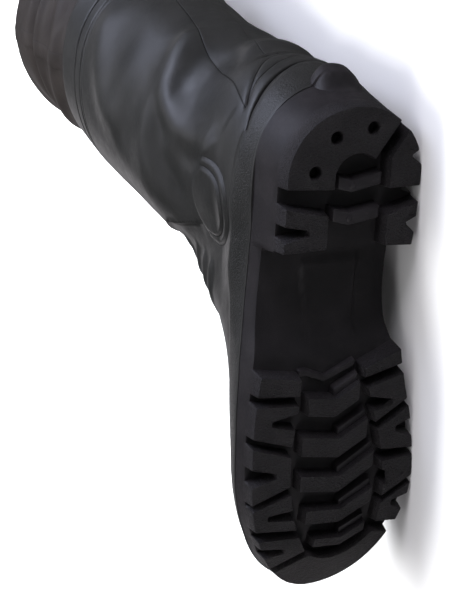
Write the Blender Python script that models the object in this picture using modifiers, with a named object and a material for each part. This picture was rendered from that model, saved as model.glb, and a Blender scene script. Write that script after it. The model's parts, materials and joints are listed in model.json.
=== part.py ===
"""Left wader boot, lying on its inner side.

A moulded PVC upper on a cleated outsole, with an insole and the start of the welded leg.
All sizes are millimetres in the boot's own frame.
X runs to the inner side, Y to the toe, and Z up from the tread plane.
"""

from collections import namedtuple
import math

import bmesh
import bpy
from mathutils import Matrix, Vector
import numpy as np

MM = 0.001

UPPER_WALL = 3.0
LEG_WALL = 1.0
INSOLE_THICK = 4.0
INSOLE_DRAW = 1.0
JOINT_GAP = 0.35
INSOLE_CLEAR = 3.0 * JOINT_GAP
LEG_CLEAR = 1.5 * JOINT_GAP

SOLE_LENGTH = 297.6
BALL_WIDTH = 103.0
INSTEP_HEIGHT = 101.0
HEEL_HEIGHT = 37.0

HEEL_BACK = -0.6
HEEL_BACK_X = 1.0
HEEL_RAKE = 1.4
TOE_TIP = HEEL_BACK + SOLE_LENGTH
TOE_TIP_X = -4.0
RAND_HEIGHT = 20.0
RAND_PROUD = 1.0
RAND_BEVEL = 1.2
RAND_LIP = 1.0
COLLAR_HEIGHT = 338.0

# Outline of the sole at its top edge, each side from the centre line.
# Places are shares of the sole's length, and widths are shares of the ball width.
HEEL_ROUND_SHARE = 0.140
TOE_ROUND_SHARE = 0.748
SoleSide = namedtuple("SoleSide", "share lateral medial")
SOLE_SIDES = (
    SoleSide(HEEL_ROUND_SHARE, 0.403, 0.417),
    SoleSide(0.237, 0.403, 0.408),
    SoleSide(0.338, 0.413, 0.374),
    SoleSide(0.439, 0.442, 0.364),
    SoleSide(0.540, 0.481, 0.403),
    SoleSide(0.640, 0.498, 0.471),
    SoleSide(TOE_ROUND_SHARE, 0.490, 0.505),
    SoleSide(0.882, 0.463, 0.500),
)
HEEL_ARC_FROM = HEEL_BACK + HEEL_ROUND_SHARE * SOLE_LENGTH
TOE_ARC_FROM = HEEL_BACK + TOE_ROUND_SHARE * SOLE_LENGTH

# Heights along the sole: its top edge, its underside between the lugs and the faces of the lugs.
# The last column is how far the underside draws in from the top edge.
SoleHeight = namedtuple("SoleHeight", "y top under tread draw")
SOLE_HEIGHTS = (
    SoleHeight(0.0, HEEL_HEIGHT, 11.0, 0.0, 1.8),
    SoleHeight(84.0, HEEL_HEIGHT, 11.0, 0.0, 1.8),
    SoleHeight(87.0, HEEL_HEIGHT, 27.5, 0.0, 2.0),
    SoleHeight(110.0, 36.0, 26.5, 0.0, 2.0),
    SoleHeight(130.0, 32.5, 22.0, 0.0, 1.8),
    SoleHeight(148.0, 28.0, 12.0, 0.0, 0.4),
    SoleHeight(165.0, 24.0, 9.0, 0.0, 0.0),
    SoleHeight(200.0, 20.5, 9.0, 0.0, 0.0),
    SoleHeight(228.0, 20.5, 9.0, 0.0, 0.0),
    SoleHeight(255.0, 23.0, 12.2, 3.2, 0.2),
    SoleHeight(280.0, 27.5, 18.0, 9.0, 0.5),
    SoleHeight(297.0, 32.0, 23.5, 14.5, 1.0),
)

# Inner ends of the side lugs, along the channels that part them from the middle of the tread.
Channel = namedtuple("Channel", "y lateral medial")
CHANNELS = (
    Channel(30.0, 13.5, 21.5),
    Channel(84.0, 13.5, 21.5),
    Channel(155.0, 23.0, 15.5),
    Channel(170.0, 23.5, 20.0),
    Channel(188.0, 25.0, 25.0),
    Channel(200.0, 26.5, 29.0),
    Channel(213.0, 26.5, 31.0),
    Channel(230.0, 24.5, 33.0),
    Channel(245.0, 21.0, 32.5),
    Channel(256.0, 17.0, 31.5),
    Channel(268.0, 11.0, 28.0),
)

# Side lugs: where the slots behind and before each one cross the sole's edge and the channel.
# The last columns place the V notch cut into the lug from one end.
LATERAL = -1
MEDIAL = 1
Lug = namedtuple(
    "Lug",
    "side rear_outer rear_inner fore_outer fore_inner notch notch_at notch_half notch_reach",
)
LUGS = (
    Lug(LATERAL, 57.0, 62.5, 82.3, 81.5, "outer", 71.5, 4.5, 15.0),
    Lug(MEDIAL, 17.0, 32.0, 48.5, 49.0, "outer", 32.5, 4.0, 5.0),
    Lug(MEDIAL, 57.5, 64.0, 82.3, 81.5, "outer", 70.5, 4.5, 6.0),
    Lug(LATERAL, 152.5, 156.5, 164.5, 166.5, "none", 0.0, 0.0, 0.0),
    Lug(LATERAL, 170.5, 172.0, 189.5, 197.0, "inner", 181.8, 5.0, 15.0),
    Lug(LATERAL, 195.5, 203.5, 231.0, 222.0, "outer", 214.0, 5.5, 15.0),
    Lug(LATERAL, 235.0, 227.0, 249.5, 252.0, "inner", 241.0, 3.5, 16.0),
    Lug(LATERAL, 256.5, 257.0, 278.0, 268.0, "outer", 266.0, 3.5, 14.0),
    Lug(MEDIAL, 144.0, 153.5, 153.0, 159.5, "none", 0.0, 0.0, 0.0),
    Lug(MEDIAL, 159.0, 166.0, 175.0, 188.0, "inner", 176.0, 4.5, 12.5),
    Lug(MEDIAL, 180.0, 192.5, 206.5, 205.5, "outer", 193.5, 5.5, 10.0),
    Lug(MEDIAL, 211.0, 213.0, 224.5, 236.0, "inner", 223.5, 4.5, 12.5),
    Lug(MEDIAL, 229.0, 240.5, 254.5, 253.5, "outer", 241.5, 5.0, 9.0),
)
NOTCH_TIP_HALF = 1.5
LUG_DRAFT = 1.2
LUG_EDGE_INSET = 0.7
LUG_BASE_INSET = 0.4
LUG_SINK = 1.5

# Bars across the middle of the tread, bent forward at a vertex.
# The sweeps say how far each arm runs back, and the drop how deep the bar lies.
Chevron = namedtuple("Chevron", "vertex_x rear fore left right left_sweep right_sweep drop")
CHEVRONS = (
    Chevron(0.5, 43.8, 50.5, -8.0, 17.5, 0.25, 0.22, 2.5),
    Chevron(0.0, 62.0, 69.0, -10.0, 17.5, 0.26, 0.18, 2.5),
    Chevron(-1.0, 170.5, 181.5, -18.0, 13.5, 0.14, 0.62, 0.0),
    Chevron(3.0, 195.0, 207.0, -20.5, 20.0, 0.14, 0.62, 0.0),
    Chevron(4.5, 219.0, 229.0, -20.0, 25.5, 0.12, 0.66, 0.0),
    Chevron(7.5, 240.5, 250.0, -14.5, 26.5, 0.06, 0.62, 0.0),
    Chevron(10.5, 261.0, 267.0, -6.5, 25.0, 0.05, 0.60, 0.0),
)
CHEVRON_DRAFT = 1.0

# Rim round the back of the heel, and the crescent round the toe.
RIM_LATERAL_END = 46.5
RIM_LATERAL_INNER = 48.0
RIM_MEDIAL_END = 11.5
POCKET_X = 2.5
POCKET_Y = 42.0
POCKET_RADIUS = 13.5
POCKET_MEDIAL_TURN = 315.0
TOE_LATERAL_END = 281.5
TOE_MEDIAL_END = 262.0
TOE_INNER_ENDS_X = (-8.0, 30.5)
TOE_INNER_ENDS_Y = (271.5, 260.0)
TOE_INNER_RISE = 9.0

# Round holes in the heel rim.
HEEL_HOLES = ((-11.6, 19.4), (9.6, 15.0), (-23.0, 38.0))
HEEL_HOLE_RADIUS = 3.5
HEEL_HOLE_DEPTH = 8.0
HEEL_HOLE_FACETS = 14

# Kick-off spur at the back of the heel: how far it stands out and its half width, by height.
Spur = namedtuple("Spur", "z reach half")
SPURS = (
    Spur(22.0, -1.0, 7.0),
    Spur(25.0, 1.6, 11.5),
    Spur(30.0, 5.2, 14.5),
    Spur(36.4, 9.0, 15.5),
    Spur(37.2, 8.3, 15.5),
    Spur(41.0, 8.8, 14.5),
    Spur(45.0, 7.6, 12.5),
    Spur(48.0, 5.4, 9.5),
    Spur(50.0, 2.6, 6.5),
)
SPUR_X = 4.0
SPUR_ROOT = 2.5
SPUR_SUNK = 1.5
SPUR_SQUARENESS = 3.0

# Heel, ankle and shaft by height: back and front on the centre line, and the half width to each side.
Column = namedtuple("Column", "z back front lateral medial")
COLUMNS = (
    Column(37.0, -0.6, 96.0, 41.5, 43.0),
    Column(57.0, -5.0, 104.0, 44.5, 44.5),
    Column(75.0, -7.5, 112.0, 46.0, 45.5),
    Column(92.0, -7.0, 120.0, 47.0, 46.0),
    Column(110.0, -4.5, 127.0, 47.5, 46.5),
    Column(130.0, -1.5, 131.0, 50.0, 49.5),
    Column(150.0, -1.5, 133.0, 54.5, 54.0),
    Column(180.0, -8.5, 133.0, 60.5, 60.0),
    Column(230.0, -14.0, 130.0, 61.5, 61.0),
    Column(280.0, -18.0, 127.5, 62.5, 61.0),
    Column(340.0, -27.0, 119.0, 63.2, 62.0),
)
COLUMN_POWER = 2.15

# Crest of the foot: its height on the centre line in shares of the instep height, and where it runs.
Crest = namedtuple("Crest", "share top ridge_x")
CRESTS = (
    Crest(0.338, 2.376, 0.0),
    Crest(0.405, 2.119, 0.0),
    Crest(0.452, 1.861, 0.0),
    Crest(0.476, 1.614, 0.5),
    Crest(0.499, 1.386, 1.0),
    Crest(0.533, 1.168, 1.5),
    Crest(0.580, 1.000, 2.0),
    Crest(0.640, 0.871, 3.0),
    Crest(0.708, 0.777, 3.5),
    Crest(0.775, 0.713, 3.5),
    Crest(0.842, 0.673, 2.5),
    Crest(0.909, 0.634, 0.0),
    Crest(0.956, 0.584, -2.0),
    Crest(0.983, 0.525, -3.0),
    Crest(0.998, 0.450, -3.8),
    Crest(1.007, 0.356, -4.0),
)
FOOT_ROUND = 1.65
FOOT_FADE_FROM = 20.0
FOOT_FADE_TO = 75.0
FOOT_FADE_SHARE = 0.8
BLEND = 8.0
LEVEL_FLAT = 120.0

# Flare of the rand over the sole's waist: how far its upper edge stands out there, by place.
Flare = namedtuple("Flare", "y lateral medial")
FLARES = (
    Flare(25.0, 0.0, 0.0),
    Flare(55.0, 2.2, 1.2),
    Flare(80.0, 4.2, 2.8),
    Flare(104.0, 4.2, 2.8),
    Flare(124.0, 1.6, 1.2),
    Flare(146.0, 0.0, 0.0),
)
FLARE_FADE = 26.0

# Ankle guard moulded on the outer side: a raised round.
GUARD_Y = 78.0
GUARD_Z = 96.0
GUARD_HALF_LONG = 28.0
GUARD_HALF_HIGH = 31.0
GUARD_PROUD = 2.0
GUARD_EDGE_SHARE = 0.35

# Welded leg above the collar: centre and half sizes by height.
Leg = namedtuple("Leg", "z centre half_long half_wide")
LEGS = (
    Leg(352.0, 44.5, 69.5, 59.5),
    Leg(366.0, 44.0, 71.0, 61.5),
    Leg(385.0, 44.0, 72.0, 62.5),
    Leg(420.0, 43.0, 74.0, 64.0),
    Leg(458.0, 42.0, 76.0, 65.5),
)
LEG_TUCK = 22.0

# Rings of the upper above the rand: close round the instep, wider up the shaft.
RingBand = namedtuple("RingBand", "low high count")
RING_BANDS = (
    RingBand(HEEL_HEIGHT + RAND_HEIGHT + RAND_BEVEL, 86.0, 11),
    RingBand(92.0, 180.0, 11),
    RingBand(200.0, COLLAR_HEIGHT, 8),
)
RAND_RINGS = 4

# Each half ring is parted at a place along the boot, so that its points line up behind the instep.
RING_HALF = 28
RING_BACK = 11
PART_FOOT_Y = 95.0
PART_SHAFT_Y = 22.0
PART_FROM = 86.0
PART_TO = 200.0

STATIONS = 44
SAMPLES = 500
FINE_SAMPLES = 2000
EDGE_STEPS = 4
ARC_STEPS = 9
WELD = 0.02
SIDE_FACING = 0.7


def along(rows, column, at):
    """Value of a table's column at a place along it, by a cubic that never overshoots its rows."""
    place = np.array([row[0] for row in rows], dtype=float)
    value = np.array([getattr(row, column) for row in rows], dtype=float)
    step = np.diff(place)
    slope = np.diff(value) / step
    product = slope[:-1] * slope[1:]
    total = slope[:-1] + slope[1:]
    lean = np.empty_like(value)
    lean[0] = slope[0]
    lean[-1] = slope[-1]
    lean[1:-1] = np.where(product > 0.0, 2.0 * product / np.where(product > 0.0, total, 1.0), 0.0)
    at = np.clip(np.asarray(at, dtype=float), place[0], place[-1])
    cell = np.clip(np.searchsorted(place, at) - 1, 0, len(step) - 1)
    width = step[cell]
    u = (at - place[cell]) / width
    start = value[cell] * (1.0 + 2.0 * u) * (1.0 - u) ** 2 + lean[cell] * width * u * (1.0 - u) ** 2
    return start + value[cell + 1] * u * u * (3.0 - 2.0 * u) + lean[cell + 1] * width * u * u * (u - 1.0)


def ramp(low, high, at):
    """Smooth step from nought to one."""
    u = np.clip((at - low) / (high - low), 0.0, 1.0)
    return u * u * (3.0 - 2.0 * u)


def side_name(side):
    return "lateral" if side == LATERAL else "medial"


def share_of(y):
    """Place along the sole as a share of its length."""
    return (np.asarray(y, dtype=float) - HEEL_BACK) / SOLE_LENGTH


def sole_x(y, side, inset):
    """Edge of the sole on one side, drawn in from its top outline."""
    y = np.asarray(y, dtype=float)
    half = BALL_WIDTH * along(SOLE_SIDES, side_name(side), share_of(y)) - inset
    back, tip = sole_end(inset)
    heel_u = np.clip((HEEL_ARC_FROM - y) / (HEEL_ARC_FROM - back), 0.0, 1.0)
    toe_u = np.clip((y - TOE_ARC_FROM) / (tip - TOE_ARC_FROM), 0.0, 1.0)
    heel_x = HEEL_BACK_X + (side * half - HEEL_BACK_X) * np.sqrt(1.0 - heel_u ** 2)
    toe_x = TOE_TIP_X + (side * half - TOE_TIP_X) * np.sqrt(1.0 - toe_u ** 2)
    return np.where(y < HEEL_ARC_FROM, heel_x, toe_x)


def sole_end(inset):
    """Back and tip of the sole's outline when it is drawn in."""
    return HEEL_BACK + HEEL_RAKE * inset, TOE_TIP - inset


def lug_inset(y, base):
    """How far a lug's outer wall stands inside the sole's top outline: more on the tapered heel."""
    return float(along(SOLE_HEIGHTS, "draw", y)) + (LUG_BASE_INSET if base else LUG_EDGE_INSET)


def outer_points(side, start, stop, base):
    """Points along the sole's edge between two places."""
    y = np.linspace(start, stop, EDGE_STEPS)
    inset = lug_inset(0.5 * (start + stop), base)
    return list(zip(sole_x(y, side, inset), y))


def inner_point(side, y, grow):
    return side * (float(along(CHANNELS, side_name(side), y)) - grow), y


def lug_loop(row, base):
    """Loop of a side lug at its face or at its base, where its drafted walls have spread."""
    grow = LUG_DRAFT if base else 0.0
    side = row.side
    rear_outer = row.rear_outer - grow
    fore_outer = row.fore_outer + grow
    half = row.notch_half - grow
    low = row.notch_at - half
    high = row.notch_at + half
    inner = [inner_point(side, row.rear_inner - grow, grow)]
    if row.notch == "inner":
        mouth_low = inner_point(side, low, grow)
        mouth_high = inner_point(side, high, grow)
        apex = side * (float(along(CHANNELS, side_name(side), row.notch_at)) + row.notch_reach - grow)
        tip = NOTCH_TIP_HALF * half / row.notch_half
        inner += [mouth_low, (apex, row.notch_at - tip), (apex, row.notch_at + tip), mouth_high]
    inner.append(inner_point(side, row.fore_inner + grow, grow))
    if row.notch == "outer":
        inset = lug_inset(row.notch_at, base)
        apex = float(sole_x(row.notch_at, side, inset)) - side * (row.notch_reach - grow)
        tip = NOTCH_TIP_HALF * half / row.notch_half
        outer = outer_points(side, fore_outer, high, base)
        outer += [(apex, row.notch_at + tip), (apex, row.notch_at - tip)]
        outer += outer_points(side, low, rear_outer, base)
    else:
        outer = outer_points(side, fore_outer, rear_outer, base)
    return inner + outer


def chevron_loop(row, base):
    """Loop of a bent bar across the middle of the tread."""
    grow = CHEVRON_DRAFT if base else 0.0
    left = row.left - grow
    right = row.right + grow
    rear = row.rear - grow
    fore = row.fore + grow
    left_back = row.left_sweep * (row.vertex_x - left)
    right_back = row.right_sweep * (right - row.vertex_x)
    return [
        (left, rear - left_back),
        (row.vertex_x, rear),
        (right, rear - right_back),
        (right, fore - right_back),
        (row.vertex_x, fore),
        (left, fore - left_back),
    ]


def rim_loop(base):
    """Loop of the rim round the heel's back, from its lateral end to the slot on the medial side."""
    inset = lug_inset(HEEL_BACK, base)
    grow = LUG_DRAFT if base else 0.0
    back = sole_end(inset)[0]
    turn = np.linspace(0.0, 1.0, ARC_STEPS)
    lateral_y = back + (RIM_LATERAL_END + grow - back) * (1.0 - turn) ** 2
    medial_y = back + (RIM_MEDIAL_END + grow - back) * turn[1:] ** 2
    outer = list(zip(sole_x(lateral_y, LATERAL, inset), lateral_y))
    outer += list(zip(sole_x(medial_y, MEDIAL, inset), medial_y))
    angle = np.radians(np.linspace(POCKET_MEDIAL_TURN, 180.0, ARC_STEPS))
    radius = POCKET_RADIUS - grow
    inner = list(zip(POCKET_X + radius * np.cos(angle), POCKET_Y + radius * np.sin(angle)))
    inner.append((POCKET_X - radius, RIM_LATERAL_INNER + grow))
    return outer + inner


def toe_loop(base):
    """Loop of the crescent round the toe."""
    inset = lug_inset(TOE_TIP, base)
    grow = LUG_DRAFT if base else 0.0
    tip = sole_end(inset)[1]
    turn = np.linspace(0.0, 1.0, ARC_STEPS)
    lateral_y = tip - (tip - TOE_LATERAL_END + grow) * (1.0 - turn) ** 2
    medial_y = tip - (tip - TOE_MEDIAL_END + grow) * turn[1:] ** 2
    outer = list(zip(sole_x(lateral_y, LATERAL, inset), lateral_y))
    outer += list(zip(sole_x(medial_y, MEDIAL, inset), medial_y))
    inner_x = np.linspace(TOE_INNER_ENDS_X[1], TOE_INNER_ENDS_X[0], ARC_STEPS)
    inner_y = np.linspace(TOE_INNER_ENDS_Y[1], TOE_INNER_ENDS_Y[0], ARC_STEPS)
    inner_y = inner_y + 4.0 * TOE_INNER_RISE * turn * (1.0 - turn) - grow
    return outer + list(zip(inner_x, inner_y))


def column_x(y, z, side, grow):
    """Half outline of heel, ankle and shaft at a height, or nan outside it."""
    back = along(COLUMNS, "back", z) - grow
    front = along(COLUMNS, "front", z) + grow
    half = along(COLUMNS, side_name(side), z) + grow
    u = np.abs(2.0 * y - back - front) / (front - back)
    inside = np.clip(1.0 - np.minimum(u, 1.0) ** COLUMN_POWER, 0.0, 1.0) ** (1.0 / COLUMN_POWER)
    return np.where(u <= 1.0, half * inside, np.nan)


def foot_x(y, z, side, grow):
    """Half outline of the foot at a height, or nan outside it, and the crest it closes on."""
    top = INSTEP_HEIGHT * along(CRESTS, "top", share_of(y)) + grow
    low = along(SOLE_HEIGHTS, "top", y)
    rise = np.clip((z - low) / np.maximum(top - low, 1.0), 0.0, 1.0)
    edge = side * sole_x(y, side, -grow)
    round_share = np.sqrt(np.clip(1.0 - rise ** FOOT_ROUND, 0.0, 1.0))
    fade = FOOT_FADE_SHARE + (1.0 - FOOT_FADE_SHARE) * ramp(FOOT_FADE_FROM, FOOT_FADE_TO, y)
    ridge = side * along(CRESTS, "ridge_x", share_of(y))
    half = ridge * (1.0 - round_share) + edge * round_share * fade
    inside = (z <= top) & (y <= TOE_TIP + grow) & (y >= FOOT_FADE_FROM)
    return np.where(inside, half, np.nan)


def guard_stand(y, z, side):
    """How far the ankle guard stands out at a place on one side."""
    if side == MEDIAL:
        return 0.0
    reach = np.hypot((y - GUARD_Y) / GUARD_HALF_LONG, (z - GUARD_Z) / GUARD_HALF_HIGH)
    return GUARD_PROUD * (1.0 - ramp(1.0 - GUARD_EDGE_SHARE, 1.0, reach))


def flare_stand(y, z, side):
    """How far the rand flares out at a place on one side."""
    rise = z - along(SOLE_HEIGHTS, "top", y)
    share = ramp(0.0, RAND_HEIGHT, rise) * (1.0 - ramp(RAND_HEIGHT, RAND_HEIGHT + FLARE_FADE, rise))
    return share * along(FLARES, side_name(side), y)


def upper_half(y, z, side, grow):
    """Half outline of the upper at a height: the foot and the column, run together with a soft hollow."""
    column = column_x(y, z, side, grow)
    foot = foot_x(y, z, side, grow)
    both = np.isfinite(column) & np.isfinite(foot)
    high = np.fmax(column, foot)
    apart = np.where(both, np.abs(column - foot), BLEND)
    hollow = np.maximum(BLEND - apart, 0.0) ** 2 / (4.0 * BLEND)
    return high + hollow + guard_stand(y, z, side) + flare_stand(y, z, side)


def level_z(y, level):
    """Height along a ring: parallel to the sole's top edge low down, level above the ankle."""
    fade = 1.0 - ramp(HEEL_HEIGHT, LEVEL_FLAT, level)
    return level + (along(SOLE_HEIGHTS, "top", y) - HEEL_HEIGHT) * fade


def upper_ring(level, grow):
    """Ring of points round the upper: from the heel by the lateral side to the front, and back."""
    start = float(along(COLUMNS, "back", level)) - grow
    trial = np.linspace(start + JOINT_GAP, TOE_TIP + grow, FINE_SAMPLES)
    reached = np.isfinite(upper_half(trial, level_z(trial, level), MEDIAL, grow))
    stop = float(trial[reached][-1])
    y = start + (stop - start) * 0.5 * (1.0 - np.cos(np.linspace(0.0, math.pi, SAMPLES)))
    z = level_z(y, level)
    front_x = float(along(CRESTS, "ridge_x", share_of(stop)))
    part_y = PART_FOOT_Y + (PART_SHAFT_Y - PART_FOOT_Y) * float(ramp(PART_FROM, PART_TO, level))
    ring = []
    for side in (LATERAL, MEDIAL):
        x = side * np.nan_to_num(upper_half(y, z, side, grow))
        x[0] = 0.0
        x[-1] = front_x
        path = np.stack([x, y, z], axis=1)
        length = np.concatenate([[0.0], np.cumsum(np.linalg.norm(np.diff(path, axis=0), axis=1))])
        middle = float(np.interp(part_y, y, length))
        back = np.linspace(0.0, middle, RING_BACK, endpoint=False)
        even = np.concatenate([back, np.linspace(middle, length[-1], RING_HALF - RING_BACK + 1)])
        ring.append(np.stack([np.interp(even, length, path[:, axis]) for axis in range(3)], axis=1))
    return np.concatenate([ring[0], ring[1][-2:0:-1]])


def leg_ring(row, count):
    """Oval ring of the leg, matched point for point to the rings of the upper."""
    turn = -0.5 * math.pi - np.linspace(0.0, 2.0 * math.pi, count, endpoint=False)
    x = row.half_wide * np.cos(turn)
    y = row.centre + row.half_long * np.sin(turn)
    return np.stack([x, y, np.full(count, row.z)], axis=1)


def material(name, colour, roughness):
    made = bpy.data.materials.new(name)
    made.use_nodes = True
    shader = made.node_tree.nodes["Principled BSDF"]
    shader.inputs["Base Color"].default_value = (*colour, 1.0)
    shader.inputs["Roughness"].default_value = roughness
    return made


def add_object(name, mesh, collection):
    made = bpy.data.objects.new(name, mesh)
    collection.objects.link(made)
    return made


def mesh_from(name, build):
    """Mesh made through bmesh, with its faces turned outward."""
    mesh = bpy.data.meshes.new(name)
    work = bmesh.new()
    build(work)
    bmesh.ops.remove_doubles(work, verts=work.verts, dist=WELD * MM)
    bmesh.ops.recalc_face_normals(work, faces=work.faces)
    work.to_mesh(mesh)
    work.free()
    return mesh


def loft(work, rings, capped):
    """Skin between rings of equal count: closed when capped, else split on its short diagonals."""
    loops = [[work.verts.new(Vector(point) * MM) for point in ring] for ring in rings]
    for low, high in zip(loops, loops[1:]):
        for i in range(len(low)):
            j = (i + 1) % len(low)
            work.faces.new((low[i], low[j], high[j], high[i]))
    if capped:
        work.faces.new(loops[0][::-1])
        work.faces.new(loops[-1])
    else:
        bmesh.ops.triangulate(work, faces=work.faces, quad_method="SHORT_EDGE")


def station_rings(floor, roof, floor_inset, roof_inset):
    """Cross sections along the sole between a floor and a roof, each with its own outline."""
    share = 0.5 * (1.0 - np.cos(np.linspace(0.0, math.pi, STATIONS)))
    back, tip = sole_end(0.0)
    breast = (np.array([row.y for row in SOLE_HEIGHTS[1:3]]) - back) / (tip - back)
    share = np.sort(np.concatenate([share, breast]))
    rings = []
    for s in share:
        corners = []
        for height, inset in ((roof, roof_inset), (floor, floor_inset)):
            y_mid = back + s * (tip - back)
            drawn = inset(y_mid)
            level_back, level_tip = sole_end(drawn)
            y = level_back + s * (level_tip - level_back)
            z = height(y)
            pair = [(float(sole_x(y, side, drawn)), y, z) for side in (LATERAL, MEDIAL)]
            corners.append(pair)
        rings.append([corners[0][0], corners[0][1], corners[1][1], corners[1][0]])
    return rings


def sole_top(y):
    return float(along(SOLE_HEIGHTS, "top", y))


def sole_under(y):
    return float(along(SOLE_HEIGHTS, "under", y))


def sole_draw(y):
    return float(along(SOLE_HEIGHTS, "draw", y))


def sole_edge(y):
    """The sole's top edge keeps its outline all along."""
    return 0.0


def lug_prism(work, face, base, drop):
    """Drafted block from its face on the tread up into the sole."""
    low = [(x, y, float(along(SOLE_HEIGHTS, "tread", y)) + drop) for x, y in face]
    high = [(x, y, sole_under(y) + LUG_SINK) for x, y in base]
    loft(work, [low, high], True)


def build_body(work):
    loft(work, station_rings(sole_under, sole_top, sole_draw, sole_edge), True)


def build_lugs(work):
    for row in LUGS:
        lug_prism(work, lug_loop(row, False), lug_loop(row, True), 0.0)
    for row in CHEVRONS:
        lug_prism(work, chevron_loop(row, False), chevron_loop(row, True), row.drop)
    lug_prism(work, rim_loop(False), rim_loop(True), 0.0)
    lug_prism(work, toe_loop(False), toe_loop(True), 0.0)


def build_holes(work):
    for x, y in HEEL_HOLES:
        place = Matrix.Translation(Vector((x, y, 0.0)) * MM)
        bmesh.ops.create_cone(
            work,
            cap_ends=True,
            segments=HEEL_HOLE_FACETS,
            radius1=HEEL_HOLE_RADIUS * MM,
            radius2=HEEL_HOLE_RADIUS * MM,
            depth=2.0 * HEEL_HOLE_DEPTH * MM,
            matrix=place,
        )


def heel_back_y(x, z, grow):
    """Back of the upper, or of the sole below it, at a distance from the centre line."""
    side = LATERAL if x < HEEL_BACK_X else MEDIAL
    if z < HEEL_HEIGHT:
        y = np.linspace(sole_end(-grow)[0], HEEL_ARC_FROM, FINE_SAMPLES)
        half = side * (sole_x(y, side, -grow) - HEEL_BACK_X)
        return float(np.interp(abs(x - HEEL_BACK_X), half, y))
    y = np.linspace(float(along(COLUMNS, "back", z)) - grow, HEEL_ARC_FROM, FINE_SAMPLES)
    half = column_x(y, z, side, grow)
    return float(np.interp(abs(x), half, y))


def build_spur(work):
    rings = []
    across = np.linspace(-1.0, 1.0, ARC_STEPS)
    for row in SPURS:
        above = row.z > HEEL_HEIGHT
        x = SPUR_X + row.half * across
        root = [heel_back_y(v, row.z, RAND_PROUD + JOINT_GAP if above else -SPUR_ROOT) for v in x]
        edge = [heel_back_y(v, row.z, RAND_PROUD if above else 0.0) for v in x]
        sunk = 0.0 if above else SPUR_SUNK
        stand = (row.reach + sunk) * (1.0 - np.abs(across) ** SPUR_SQUARENESS) - sunk
        face = [min(e - r, b - JOINT_GAP) for e, r, b in zip(edge, stand, root)]
        ring = [(v, f, row.z) for v, f in zip(x, face)]
        ring += [(v, b, row.z) for v, b in zip(x[::-1], root[::-1])]
        rings.append(ring)
    loft(work, rings, True)


def build_upper(work):
    start = HEEL_HEIGHT + JOINT_GAP
    rand_top = HEEL_HEIGHT + RAND_HEIGHT
    foot = upper_ring(start, RAND_PROUD)
    rings = [foot, foot + np.array([0.0, 0.0, RAND_LIP])]
    for level in np.linspace(start, rand_top, RAND_RINGS)[1:]:
        rings.append(upper_ring(level, RAND_PROUD))
    for band in RING_BANDS:
        for level in np.linspace(band.low, band.high, band.count):
            rings.append(upper_ring(level, 0.0))
    loft(work, rings, False)


def build_insole(work):
    def floor(y):
        return sole_top(y) + JOINT_GAP

    def roof(y):
        return floor(y) + INSOLE_THICK

    def floor_inset(y):
        return UPPER_WALL - RAND_PROUD + INSOLE_CLEAR

    def roof_inset(y):
        return floor_inset(y) + INSOLE_DRAW

    loft(work, station_rings(floor, roof, floor_inset, roof_inset), True)


def build_leg(work):
    inside = -UPPER_WALL - LEG_CLEAR
    tucked = (COLLAR_HEIGHT - LEG_TUCK, COLLAR_HEIGHT)
    rings = [upper_ring(level, inside) for level in tucked]
    rings += [leg_ring(row, 2 * RING_HALF) for row in LEGS]
    loft(work, rings, False)


def shell(part, thickness):
    """Gives an open skin its wall, inward."""
    solid = part.modifiers.new("wall", "SOLIDIFY")
    solid.thickness = thickness * MM
    solid.offset = -1.0
    solid.use_even_offset = True
    solid.use_rim = True


def combine(part, tool, operation):
    step = part.modifiers.new(tool.name, "BOOLEAN")
    step.operation = operation
    step.solver = "EXACT"
    step.object = tool


def add_tool(name, build, collection):
    tool = add_object(name, mesh_from(name, build), collection)
    tool.hide_render = True
    tool.display_type = "WIRE"
    return tool


def resting_pose(parts):
    """Turn and shift that lay the boot on its inner side, on the hull face that lies under its weight."""
    depsgraph = bpy.context.evaluated_depsgraph_get()
    points = []
    weight = Vector((0.0, 0.0, 0.0))
    volume = 0.0
    for part in parts:
        held = part.evaluated_get(depsgraph)
        mesh = held.to_mesh()
        mesh.calc_loop_triangles()
        corners = [v.co.copy() for v in mesh.vertices]
        for face in mesh.loop_triangles:
            a, b, c = (corners[i] for i in face.vertices)
            share = a.dot(b.cross(c)) / 6.0
            volume += share
            weight += share * (a + b + c) / 4.0
        points += corners
        held.to_mesh_clear()
    weight /= volume
    work = bmesh.new()
    for point in points:
        work.verts.new(point)
    bmesh.ops.convex_hull(work, input=work.verts)
    bmesh.ops.recalc_face_normals(work, faces=work.faces)
    floor_normal = None
    for face in work.faces:
        if face.normal.x < SIDE_FACING:
            continue
        ends = [v.co for v in face.verts]
        shadow = weight - face.normal * (weight - ends[0]).dot(face.normal)
        edges = [(ends[i - 2] - ends[i - 3], shadow - ends[i - 3]) for i in range(3)]
        if min(edge.cross(reach).dot(face.normal) for edge, reach in edges) >= 0.0:
            floor_normal = -face.normal
    work.free()
    x_axis = (Vector((0.0, 0.0, 1.0)) - floor_normal * floor_normal.z).normalized()
    y_axis = floor_normal.cross(x_axis)
    turn = Matrix((x_axis, y_axis, floor_normal)).to_4x4()
    laid = [turn @ point for point in points]
    low = [min(p[i] for p in laid) for i in range(3)]
    high = [max(p[i] for p in laid) for i in range(3)]
    shift = Vector((-0.5 * (low[0] + high[0]), -0.5 * (low[1] + high[1]), -low[2]))
    return Matrix.Translation(shift) @ turn


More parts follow.
